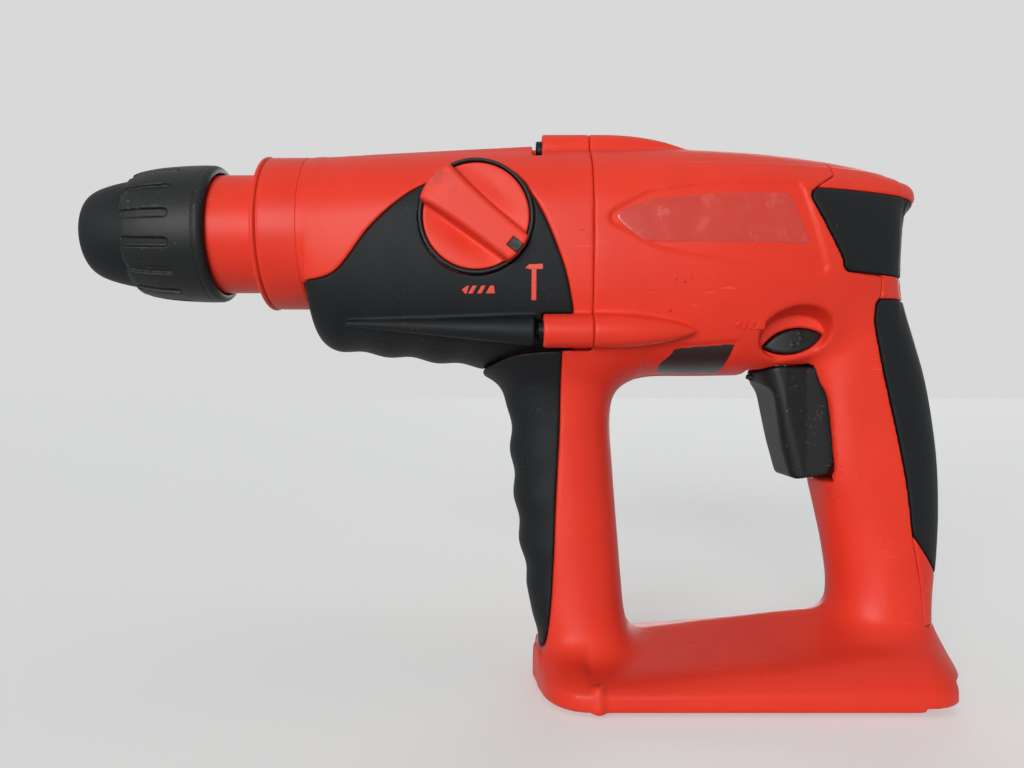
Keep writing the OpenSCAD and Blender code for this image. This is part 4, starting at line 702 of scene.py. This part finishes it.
# Bores round the spindle and its gear, for the countershaft, for its gear and the wobble ring, for its
# front bearing and the tube bearing, and the seat of the bearing plate
for spot, r, start, end in (
        (spindle_spot, case_bore, 80, 123), (spindle_spot, 22.8, 121, 200), (lay_spot, 9.0, 121, 200),
        (lay_spot, 15.8, 143, 200), (lay_spot, 8.2, 114.8, 125), (spindle_spot, 18.2, 110, 118),
        (plate_spot, 26.2, 181, 200)):
    case = cut(case, (rod(room, "x", spot, r, start, end), 0))
put(mould("gear_housing_moulding", room, case), red_abs, "housing", "red_plastic", "gear_housing")


# Gear shroud: a black thermoplastic rubber moulded over the lower gear housing, with three shallow
# finger waves under the chin and a tapered rib on each flank that leads up to the lower screw.
def soft_rubber():
    """Soft-touch rubber: near black with a blue cast, broad dull highlights, pale dust and rubbed spots."""
    made, t, where = new_material("soft_touch_rubber")
    colour, cloud = clouded(t, where, 38.0, 4.0, linear("#0B0D0F"), linear("#15181B"), 0.6)
    # Dust of about half a millimetre, in patches a finger wide
    patch = blotches(t, where, 55.0, 3.0, (0.5, 0.72))
    colour = lay_over(t, colour, "#6A6E72", 0.22, patch, blotches(t, where, 1100.0, 2.0, (0.62, 0.7)))
    finish(t, where, colour, cloud, (0.5, 0.68), 2400.0, 0.16, 0.2)
    return made


rubber = soft_rubber()
room = Room((chin_x - 2, -41, -58), (seam_x - 4, 41, 22), 0.52)
cover = trim(body_form(room, waved=True) - 0.15, chin_x - room.x, 1.6)
for side in (-1, 1):
    rib_tip = (chin_x + 15, side * (case_r - 5.2), -chin + 9.3)
    rib = taper(room, rib_tip, (rib_end, side * (low_boss[0] - 0.4), low_boss[1]), 1.0, 5.2)
    cover = join(cover, trim(rib, room.x - rib_end, 0.8), 1.6)
cover = cut(trim(cover, side_view(room, shroud_edge) + 0.1, 0.9), (side_view(room, main_zone) - 0.1, 0.9))
for side in (-1, 1):
    spot = (side * low_boss[0], low_boss[1])
    cover = cut(cover, (rod(room, "x", spot, boss_r + 0.25, boss_x - 0.3, seam_x), 0),
                (rod(room, "x", spot, 4.0, screw_x - 0.9, seam_x), 0))
cover = cut(
    cover, (rod(room, "y", (knob_x, 0), bezel_r + 0.2, -90, -knob_floor + 6), 0.5),
    (np.maximum(lying(room, core_rows) + shroud_wall, chin_x + shroud_wall - room.x), 0),
    (rod(room, "x", spindle_spot, case_r + 0.15, 0, chin_x + case_step), 0))
put(mould("gear_shroud_overmould", room, cover), rubber, "housing", "soft_rubber", "gear_shroud")


# Front grip: the same rubber over the front handle, four waves for the fingers of the second hand.
# It tapers to a point at the bow of the foot and meets the shroud in a thin curved parting line.
room = Room((bow_x - 33, -32, gap_floor - 11), (bow_x + 13, 32, gap_top + 13), 0.5)
hand = join(body_form(room), front_form(room, waved=True), 9) - 0.12
for limit, edge in (
        (side_view(room, front_zone) + 0.1, 0.9), (side_view(room, main_zone) + 0.15, 0.9),
        (gap_floor - 7.8 - room.z, 0.6), (bow_x - 20.4 - room.x, 2.0)):
    hand = trim(hand, limit, edge)
flat_rows = [(z, front + 1, back, w, n, m) for z, front, back, w, n, m in front_rows]
behind = np.maximum(standing(room, flat_rows), room.z - gap_top - 10.5)
hand = cut(hand, (join(lying(room, core_rows), behind, 9) + rubber_wall, 0))
put(mould("front_grip_overmould", room, hand), rubber, "housing", "soft_rubber", "front_grip")


# Rear shell: the red back half of the rear grip, screwed to the main housing behind a long seam. Its
# saddle pad for the web of the thumb and its palm pad are rubber, moulded into steps in the shell.
saddle = [(back_x + 20, 9), (grip_x - 7, 10.8)] + saddle_front + [(back_x + 20, -19.2)]
palm = [(back_x + 20, -25.5), (grip_x + 18.8, -26.5), (grip_x + 16.9, -28.5)] + rear_curve + [
    (back_x + 20, gap_top - 104.6)]
room = Room((grip_x - 13, -32, gap_floor - 1), (back_x + 3, 32, 32), 0.6)
grip = grip_form(room)
rear = join(body_form(room), grip, 4)
zone = side_view(room, rear_zone) + 0.06
pads = np.minimum(side_view(room, saddle), side_view(room, palm))
shell = trim(rear, zone, 0.5)
shell = np.minimum(trim(shell, 0.12 - pads, 0.7), np.maximum(rear + grip_step, zone))
motor_room_r, motor_room_end = 26.1, 252.4
shell = cut(shell, (grip_hollow(room, grip), 0),
            (rod(room, "x", motor_spot, motor_room_r, seam_x, motor_room_end), 0))
put(mould("rear_shell_moulding", room, shell), red_abs, "housing", "red_plastic", "rear_shell")
for name, node, outline in (
        ("saddle_pad_overmould", "rear_saddle_pad", saddle), ("palm_pad_overmould", "rear_grip_pad", palm)):
    pad = trim(trim(rear - 0.15, side_view(room, outline) + 0.1, 0.9), zone, 0.9)
    put(mould(name, room, cut(pad, (rear + rubber_wall, 0))), rubber, "housing", "soft_rubber", node)


# Housing screws: four long black-oxide screws with hexagon sockets, driven from the front through
# the gear housing's bosses into the main housing. One screw is drawn and set at each boss.
black_oxide = metal("black_oxide_steel", "#26282B", 0.38, 1.0, (1200.0, 80.0, 80.0))
tree, given = node_tree(
    "socket_screws", "Head Radius", "Head Height", "Socket Radius", "Shank Radius", "Shank Length")
edge = add(tree, "ShaderNodeMath", {0: given["Head Radius"], 1: 0.12}, operation="MULTIPLY").outputs[0]
crown_r = add(tree, "ShaderNodeMath", {0: given["Head Radius"], 1: edge}, operation="SUBTRACT").outputs[0]
down = add(tree, "ShaderNodeMath", {0: edge, 1: -1.0}, operation="MULTIPLY").outputs[0]
head_mid = add(tree, "ShaderNodeMath", {
    0: given["Head Height"], 1: -0.5, 2: down}, operation="MULTIPLY_ADD").outputs[0]
shank_mid = add(tree, "ShaderNodeMath", {
    0: given["Shank Length"], 1: -0.5, 2: head_mid}, operation="MULTIPLY_ADD").outputs[0]
crown = add(tree, "GeometryNodeMeshCone", {
    "Vertices": 48, "Radius Top": crown_r, "Radius Bottom": given["Head Radius"], "Depth": edge})
head, shank, socket = (add(tree, "GeometryNodeMeshCylinder", {
    "Vertices": sides, "Radius": given[radius], "Depth": given[depth]}) for sides, radius, depth in (
        (48, "Head Radius", "Head Height"), (32, "Shank Radius", "Shank Length"),
        (6, "Socket Radius", "Head Height")))
solid = add(tree, "GeometryNodeMeshBoolean", operation="UNION", solver="EXACT")
for shape, height in ((crown, down), (head, head_mid), (shank, shank_mid)):
    place = add(tree, "ShaderNodeCombineXYZ", {"Z": height}).outputs[0]
    moved = add(tree, "GeometryNodeTransform", {"Geometry": shape.outputs["Mesh"], "Translation": place})
    tree.links.new(moved.outputs["Geometry"], solid.inputs["Mesh 2"])
screw = add(tree, "GeometryNodeMeshBoolean", {
    "Mesh 1": solid.outputs["Mesh"], "Mesh 2": socket.outputs["Mesh"]},
    operation="DIFFERENCE", solver="EXACT")
repeat(tree, given, screw.outputs["Mesh"], -math.pi / 2, black_oxide)
screw_low, screw_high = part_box("housing_screws")
screws_piece = grow("socket_screws", tree, [
    (screw_low[0], side * y * 0.001, z * 0.001) for y, z in (top_boss, low_boss) for side in (-1, 1)], {
    "Head Radius": 0.0035, "Head Height": 0.0055, "Socket Radius": 0.00173, "Shank Radius": 0.002,
    "Shank Length": screw_high[0] - screw_low[0] - 0.004})
put(screws_piece, black_oxide, "housing", "black_screw", "housing_screws")


# Neck and collar: one red moulding over the front bearing, smooth and round where a side handle clamps.
# A thin lip stands in front of the collar with a narrow groove behind it.
def turned(name, profile, steps=224):
    """Solid of revolution about the drilling axis from a closed outline of (radius, place) in mm."""
    made = bmesh.new()
    rings = []
    for k in range(steps):
        c, s = math.cos(2 * math.pi * k / steps), math.sin(2 * math.pi * k / steps)
        rings.append([made.verts.new((x * 0.001, r * c * 0.001, r * s * 0.001)) for r, x in profile])
    n = len(profile)
    for k in range(steps):
        a, b = rings[k], rings[(k + 1) % steps]
        for i in range(n):
            made.faces.new((a[i], a[(i + 1) % n], b[(i + 1) % n], b[i]))
    bmesh.ops.recalc_face_normals(made, faces=made.faces)
    mesh = bpy.data.meshes.new(name)
    made.to_mesh(mesh)
    made.free()
    mesh.polygons.foreach_set("use_smooth", np.ones(len(mesh.polygons), bool))
    mesh.set_sharp_from_angle(angle=math.radians(32))
    return stand(name, mesh)


rim_x, flange_x, neck_r, lip_r = 51.0, 68.4, 22.0, 28.8
neck_x, seal_r = 47.0, 17.05
bearing_x, bearing_end, bearing_r = 56.0, 68.0, 19.05
collar = [(seal_r, neck_x)] + arc((neck_r - 1, neck_x + 1), 1, -90, 0, 5) + [
    (neck_r, rim_x + 4), (neck_r, flange_x - 8)] + arc(
    (neck_r + 2.2, flange_x - 2.2), 2.2, 180, 90, 8) + arc(
    (lip_r - 1.2, flange_x + 1.0), 1.0, -90, 90, 8) + [(case_r - 0.1, flange_x + 2.05)] + arc(
    (case_r - 0.55, flange_x + 2.5), 0.32, 90, -60, 6) + [
    (case_r - 0.05, flange_x + 2.95), (case_r, flange_x + 3.6), (case_r + 0.04, case_x + 0.3),
    (case_bore, case_x + 0.3), (case_bore, bearing_end), (bearing_r, bearing_end), (bearing_r, bearing_x),
    (seal_r, bearing_x)]
put(turned("nose_collar_moulding", collar), red_abs, "housing", "red_plastic", "nose_collar")
paint(rubber, "shaft_seal")


# Grip sleeve of the chuck: black glass-filled nylon, pulled back by hand to free the bit. Fifteen
# finger slots with round rear ends follow its swelling front, and its rear rim rolls over the neck.
sleeve_r, slots, slot_end, slot_half = 25.5, 15, 38.8, 1.55
nose_length, spigot_r = 19.0, 17.0
ring_seat_r, web_r = 15.53, 14.0
sleeve_front = 20.4
sleeve_rows = [(sleeve_front, 22.5), (21.4, 22.9), (23, 23.4), (29, 24.5), (37, 25.2), (44, 25.5), (51, 25.5)]


def worn_nylon():
    """Black nylon with the rubbed sheen of handling: pale scuffs along its edges and dust in between."""
    made, t, where = new_material("worn_black_nylon")
    colour, cloud = clouded(t, where, 50.0, 4.0, linear("#0A0B0C"), linear("#131517"))
    # Edges stand out of the surface, so they catch rubbing: a convexity of about a millimetre
    convex = add(t, "ShaderNodeNewGeometry").outputs["Pointiness"]
    edge = add(t, "ShaderNodeValToRGB", {"Fac": convex}, (0.53, 0.62)).outputs["Color"]
    dust = blotches(t, where, 900.0, 3.0, (0.62, 0.74))
    wear = add(t, "ShaderNodeMath", {0: edge, 1: dust}, operation="MAXIMUM").outputs[0]
    colour = lay_over(t, colour, "#75787B", 0.5, wear, blotches(t, where, 220.0, 4.0, (0.46, 0.68)))
    finish(t, where, colour, cloud, (0.4, 0.58), 1800.0, 0.14, 0.28)
    return made


black_nylon = worn_nylon()
room_r = sleeve_r + 1.2
room = Room((nose_length - 1, -room_r, -room_r), (rim_x + 1, room_r, room_r), 0.34)
radius = np.sqrt(room.y**2 + room.z**2)
surface = radius - stations(sleeve_rows, room.axes[0])[0][:, None, None]
pitch = 2 * math.pi / slots
turn = np.arctan2(-room.y, room.z) - math.radians(10)
turn = (turn + pitch / 2) % pitch - pitch / 2
across = turn * radius
reach = np.maximum(room.x - slot_end + slot_half, 0)
slot = np.sqrt(across**2 + reach**2) - slot_half
surface = sunk(surface, slot, 1.15, 0.6)
surface = sunk(surface, np.abs(room.x - rim_x + 3.4) - 0.25, 0.3, 0.5)
sleeve = trim(surface, sleeve_front - room.x, 0.8)
sleeve = trim(sleeve, room.x - rim_x, 3.0)
hollow = np.maximum(radius - spigot_r - 0.35, room.x - 25.6)
hollow = np.minimum(hollow, np.maximum(radius - ring_seat_r, np.maximum(25.0 - room.x, room.x - 36.2)))
hollow = np.minimum(hollow, np.maximum(radius - web_r, np.maximum(36.0 - room.x, room.x - 38.0)))
hollow = np.minimum(hollow, np.maximum(radius - neck_r - 0.6, 37.5 - room.x))
sleeve = cut(sleeve, (hollow, 0.5))
put(mould("chuck_sleeve_moulding", room, sleeve), black_nylon, "sleeve", "black_plastic", "chuck_sleeve")


# Nose cap: a domed rubber dust cap pressed over the tool holder. Its mouth grips the bit's shank and
# keeps grit out of the chuck.
bore_r, holder_r = 5.05, 10.53
dome_x, dome_end = 1.0, 20.9
dome = through(about(
    (0, dome_x), (9.4, 0), (12.0, 0.25), (14.0, 1.1), (15.6, 2.7), (17.1, 5.6), (18.5, 10), (19.6, 15)) + [
    (20.3, dome_end)], 5)
nose = [(bore_r, 3), (bore_r, dome_x + 1.0)] + arc(
    (bore_r + 1.0, dome_x + 1.0), 1.0, 180, 270, 5)[1:] + dome + [
    (spigot_r, dome_end), (spigot_r, nose_length + 5), (holder_r, nose_length + 5), (holder_r, 3)]
put(turned("nose_cap_moulding", nose), rubber, "spindle", "soft_rubber", "nose_cap")


# Mode knob: red ABS in a black ring, with a tapered grip bar between two scooped hollows and a black
# pointer set into its narrow end. The wide end is rubbed grey by the thumb.
pointer_turn = math.radians(-38.7)
disc_r, hoop_r, hoop_half = 18.0, 18.88, 0.62


def knob_frame(room):
    """Along the bar to the pointer, across the bar, and height above the seat."""
    c, s = math.cos(pointer_turn), math.sin(pointer_turn)
    x, z = room.x - knob_x, room.z
    return x * c + z * s, z * c - x * s, -room.y - knob_floor


def rubbed_red():
    """The housing's red with a thumb-worn grey patch at the bar's wide end and grime beside the bar."""
    made, t, where = new_material("thumb_worn_red_abs")
    colour, tone = clouded(t, where, 90.0, 3.0, linear("#D83523"), linear("#E5402D"))
    spot = (knob_x - 15.5 * math.cos(pointer_turn), -40.2, -15.5 * math.sin(pointer_turn))
    away = add(t, "ShaderNodeVectorMath", {0: where, 1: [c * 0.001 for c in spot]}, operation="DISTANCE")
    close = add(t, "ShaderNodeMapRange", {
        "Value": away.outputs["Value"], "From Min": 0.002, "From Max": 0.0075, "To Min": 1.0, "To Max": 0.0})
    smear = blotches(t, where, 260.0, 6.0, (0.4, 0.75))
    colour = lay_over(t, colour, "#5C3A34", 0.8, close.outputs["Result"], smear)
    colour = lay_over(t, colour, "#8A2A20", 0.5, blotches(t, where, 800.0, 2.0, (0.7, 0.76)))
    finish(t, where, colour, tone, (0.38, 0.52), 1900.0, 0.1, 0.22)
    return made


room = Room((knob_x - 20.5, -42, -20.5), (knob_x + 20.5, -31, 20.5), 0.25)
u, v, h = knob_frame(room)
from_axis = np.sqrt((room.x - knob_x) ** 2 + room.z**2)
bar_half = np.interp(u, [-18.5, -16.5, -10, 0, 10, 18.9], [7.9, 7.1, 6.3, 5.5, 5.15, 5.05]).astype(np.float32)
side_gap = np.abs(v) - bar_half
scoop = 2.4 * np.exp(-((np.maximum(side_gap, 0) / 5.5) ** 2)) * np.clip(1 - (u / 17) ** 2, 0, 1)
disc = trim(from_axis - disc_r, np.maximum(h - 3.7 + scoop, 0.15 - h), 0.9)
top = 8.5 - 1.1 * np.clip((-u - 9) / 9, 0, 1) ** 2
bar = trim(side_gap - 0.16 * (8.6 - h), h - top, 1.5)
bar = trim(bar, np.maximum(from_axis - 19.3, u - 19.2), 1.2)
bar = np.maximum(bar, np.where(from_axis > 17.6, 4.1, 1.0) - h)
knob = join(disc, bar, 1.2)
notch = np.maximum(np.abs(v) - 1.85, np.maximum(14.7 - u, 5.2 - h))
knob = cut(knob, (notch, 0))
put(mould("mode_knob_moulding", room, knob), rubbed_red(), "knob", "red_plastic", "mode_knob")
hoop = trim(np.abs(from_axis - hoop_r) - hoop_half, np.maximum(h - 3.9, 0.1 - h), 0.6)
put(mould("knob_bezel_ring", room, hoop, 60000), black_nylon, "housing", "black_plastic", "knob_bezel")
paint(black_nylon, "knob_pointer")


# Mode symbols: a drill bit and a hammer printed flat on the shroud beside the knob's two stops, and
# a raised drill-bit arrow on the main housing over the direction button.
def printed_red():
    """Thin red print with a slightly broken edge where the rubber shows through."""
    made, t, where = new_material("red_pad_print")
    colour = lay_over(t, linear("#DB4636"), "#8E352C", 1.0, blotches(t, where, 900.0, 3.0, (0.62, 0.8)))
    shade = add(t, "ShaderNodeBsdfPrincipled", {"Base Color": colour, "Roughness": 0.55})
    add(t, "ShaderNodeOutputMaterial", {"Surface": shade.outputs[0]})
    return made


def any_of(room, shapes):
    """Distance from several outlines in the side view taken as one."""
    return np.minimum.reduce([side_view(room, shape) for shape in shapes])


drill_sign = [
    [(142.2, -24.5), (144.2, -23.2), (144.9, -23.2), (144.0, -25.9), (143.4, -25.9)],
    [(146.0, -23.2), (147.6, -23.2), (146.0, -25.9), (144.4, -25.9)],
    [(149.1, -23.2), (150.6, -23.2), (149.0, -25.9), (147.4, -25.9)],
    [(152.0, -23.2), (153.3, -23.2), (153.7, -25.9), (150.4, -25.9)],
]
hammer_sign = [
    [(163.8, -17.6), (165.0, -16.3), (169.8, -16.1), (169.9, -17.9), (167.7, -18.0),
     (167.7, -28.2), (166.0, -28.2), (166.0, -18.0), (165.4, -18.0)],
]
ink = printed_red()
for name, sign in (("drill_symbol", drill_sign), ("hammer_symbol", hammer_sign)):
    spots = np.array([p for shape in sign for p in shape])
    low, high = spots.min(0) - 1, spots.max(0) + 1
    room = Room((low[0], -37.5, low[1]), (high[0], -31, high[1]), 0.14)
    face = body_form(room, waved=True) - 0.15
    layer = np.maximum(face - 0.12, -face - 0.9)
    put(mould(name, room, trim(layer, any_of(room, sign), 0.2), 30000), ink, "housing", "red_plastic")

arrow = [
    [(235.5, -36.3), (237.8, -34.8), (237.8, -37.9)],
    [(238.7, -34.8), (240.5, -34.8), (239.5, -37.9), (238.3, -37.9)],
    [(241.4, -34.8), (243.2, -34.8), (242.2, -37.9), (240.4, -37.9)],
    [(244.1, -34.8), (246.5, -34.8), (246.5, -37.9), (243.1, -37.9)],
]
room = Room((234.5, -35, -39), (247.5, -26, -33.7), 0.16)
face = body_form(room)
layer = np.maximum(face - 0.4, -face - 0.9)
put(mould("direction_mark", room, trim(layer, any_of(room, arrow), 0.4), 30000),
    red_abs, "housing", "red_plastic")


# Name film and rating plate: a clear film lies in the flank's shallow field and a black foil in the
# field under the body. Both are left bare.
def clear_film():
    """Clear polyester over the red: a shade deeper, with a sharp gloss and faint rubbed patches."""
    made, t, where = new_material("clear_film_on_red")
    colour, _ = clouded(t, where, 70.0, 3.0, linear("#BC2F22"), linear("#CB3B2D"))
    # Rubbed patches a few millimetres wide
    rub = blotches(t, where, 140.0, 8.0, (0.52, 0.82), 0.7)
    colour = lay_over(t, colour, "#DE8A7C", 0.22, rub)
    rough = add(t, "ShaderNodeMapRange", {"Value": rub, "To Min": 0.2, "To Max": 0.45})
    shade = add(t, "ShaderNodeBsdfPrincipled", {
        "Base Color": colour, "Roughness": rough.outputs["Result"], "IOR": 1.55})
    add(t, "ShaderNodeOutputMaterial", {"Surface": shade.outputs[0]})
    return made


film_line = through(about(
    (seam_x, 0), (10.2, -3.6), (7.9, -0.8), (8.6, 1.4), (14, 3.8), (22.2, 6.1), (44, 7.9),
    (66.8, 8.4))) + about((seam_x, 0), (74.6, -8.9), (17.2, -8.7))
plate_line = about((seam_x, gap_top), (18.9, -1), (19.4, 8.9), (50.2, 11), (47.6, -1))
foil = dull("black_foil", "#121315", "#1C1E20", 0.36, 1500.0, 0.06)
for name, material, slot, field, sink, line, low, high in (
        ("name_film", clear_film(), "red_plastic", name_field, name_sink, film_line,
         (seam_x + 5, -37.5, -18), (seam_x + 80, -28, 14)),
        ("rating_foil", foil, "black_plastic", plate_field, plate_sink, plate_line,
         (seam_x + 16, -38, gap_top - 3), (seam_x + 54, -7, gap_top + 14))):
    room = Room(low, high, 0.35)
    face = sunk(body_form(room), side_view(room, field), *sink)
    layer = trim(np.maximum(face - 0.12, -face - 1.0), side_view(room, line), 0.2)
    put(mould(name, room, layer, 60000), material, "housing", slot)


# Trigger: one black nylon moulding on a steel pin across the rear grip, with a broad rounded front for
# two fingers. Its rear is narrower than its front, because it swings back into a bay in the housing.
trigger_line = arc((grip_x - 6.8, trigger_floor + 3), 3, 190, 270, 5) + arc(
    (grip_x + 2.2, trigger_floor + 4.5), 3.2, 270, 350, 5) + about(
    (grip_x, gap_top), (7.2, -30), (8.6, -4)) + arc(pivot, 5, -20, 150, 12) + through(about(
        (grip_x, gap_top), (-0.5, 3.5), (-9.5, 3.4), (-14, 3.6), (-19, 2.3), (-22.6, 0.2))) + through(about(
            (grip_x, gap_top), (-22.9, -1.0), (-19.6, -2.8), (-16, -6.5), (-14.4, -14), (-12.6, -24.4)) + [
        (grip_x - 10.4, trigger_floor + 5)])
room = Room((grip_x - 27, -14.6, trigger_floor - 1.4), (grip_x + 15, 14.6, pivot[1] + 6.5), 0.42)
crease = grip_x - 13.5 + (gap_top - room.z) * 0.26
ahead = np.clip((crease - room.x) / 7.5, 0, 1)
half = np.interp(room.x, [grip_x - 12, grip_x - 4], [trigger_half, trigger_rear_half])
half = half * np.sqrt(1 - 0.985 * ahead**2)
lever = trim(side_view(room, trigger_line), (np.abs(room.y) - half) * 0.8, 1.3)
lever = cut(lever, (rod(room, "y", pivot, 2.08, -20, 20), 0))
put(mould("trigger_moulding", room, lever), black_nylon, "trigger", "black_plastic", "trigger")


# Direction button: a lens-shaped black shuttle that crosses the handle above the trigger. Each end
# stands in a dish in the housing and carries four small raised dots.
x, z = button_spot
room = Room((x - 13, -20.6, z - 7), (x + 13, 20.6, z + 7), 0.3)
u, v = button_frame(room)
end = 19.2 - 1.6 * (u / 10.85) ** 2
shuttle = trim(lens(u, v) + 0.02, np.abs(room.y) - end, 1.0)
for spot in ((-0.6, -1.4), (1.6, -1.5), (2.6, 2.1), (2.8, 0.2)):
    for side in (-1, 1):
        dot = np.sqrt((u - spot[0]) ** 2 + (v - spot[1]) ** 2 + (room.y - side * 18.9) ** 2) - 0.75
        shuttle = join(shuttle, dot, 0.3)
put(mould("direction_button_moulding", room, shuttle),
    black_nylon, "button", "black_plastic", "direction_button")


# Studio: a pale floor under the foot and a plain pale backdrop, a broad soft lamp before the tool and
# weaker ones above and behind it. The camera stands where the photograph was taken from.
pale, floor_half, floor_gap, floor_glow = "#DCDDDC", 6.0, 0.0003, 0.46


def seen_rays(t):
    """1 for the rays that see the background: the camera's, and those from gloss and glass."""
    path, seen = add(t, "ShaderNodeLightPath").outputs, 0.0
    for ray in ("Is Camera Ray", "Is Glossy Ray", "Is Transmission Ray"):
        seen = add(t, "ShaderNodeMath", {0: seen, 1: path[ray]}, operation="MAXIMUM").outputs[0]
    return seen


mesh = bpy.data.meshes.new("floor")
mesh.from_pydata([
    (x * floor_half, y * floor_half, 0) for x, y in ((-1, -1), (1, -1), (1, 1), (-1, 1))], [], [(0, 1, 2, 3)])
floor = stand("floor", mesh)
floor.location = (0.16, 0.0, foot_floor * 0.001 - floor_gap)
paper, t, where = new_material("floor_paper")
colour, _ = clouded(t, where, 6.0, 2.0, linear(pale), linear(pale, 0.985))
glow = add(t, "ShaderNodeMath", {0: seen_rays(t), 1: floor_glow}, operation="MULTIPLY").outputs[0]
shade = add(t, "ShaderNodeBsdfPrincipled", {
    "Base Color": colour, "Roughness": 0.9, "Specular IOR Level": 0.1,
    "Emission Color": colour, "Emission Strength": glow})
add(t, "ShaderNodeOutputMaterial", {"Surface": shade.outputs[0]})
mesh.materials.append(paper)
world = bpy.data.worlds.new("soft_sky")
scene.world = world
world.use_nodes = True
sky = world.node_tree
sky.nodes.clear()
lit = add(sky, "ShaderNodeBackground", {"Color": linear("#E8EBEE"), "Strength": 0.17})
shown = add(sky, "ShaderNodeBackground", {"Color": linear(pale), "Strength": 0.96})
mixed = add(sky, "ShaderNodeMixShader", {0: seen_rays(sky), 1: lit.outputs[0], 2: shown.outputs[0]})
add(sky, "ShaderNodeOutputWorld", {"Surface": mixed.outputs[0]})
for name, strength, spread, aim in (
        ("key_light", 3.9, 40, (0.36, 1.0, -0.10)), ("top_light", 0.25, 50, (-0.1, 0.15, -1.0)),
        ("back_light", 1.6, 50, (-0.35, -1.0, -0.12))):
    lamp = stand(name, bpy.data.lights.new(name, "SUN"))
    lamp.data.energy, lamp.data.angle = strength, math.radians(spread)
    flat = math.hypot(aim[0], aim[1])
    lamp.rotation_euler = (math.atan2(flat, -aim[2]), 0, math.atan2(-aim[0], aim[1]))
camera = stand("camera", bpy.data.cameras.new("camera"))
camera.location = (0.1594, -0.305, -0.0566)
camera.rotation_euler = (math.pi / 2, 0, 0)
camera.data.lens, camera.data.sensor_width = 28.22, 36.0
scene.camera = camera
scene.view_settings.view_transform = "Standard"
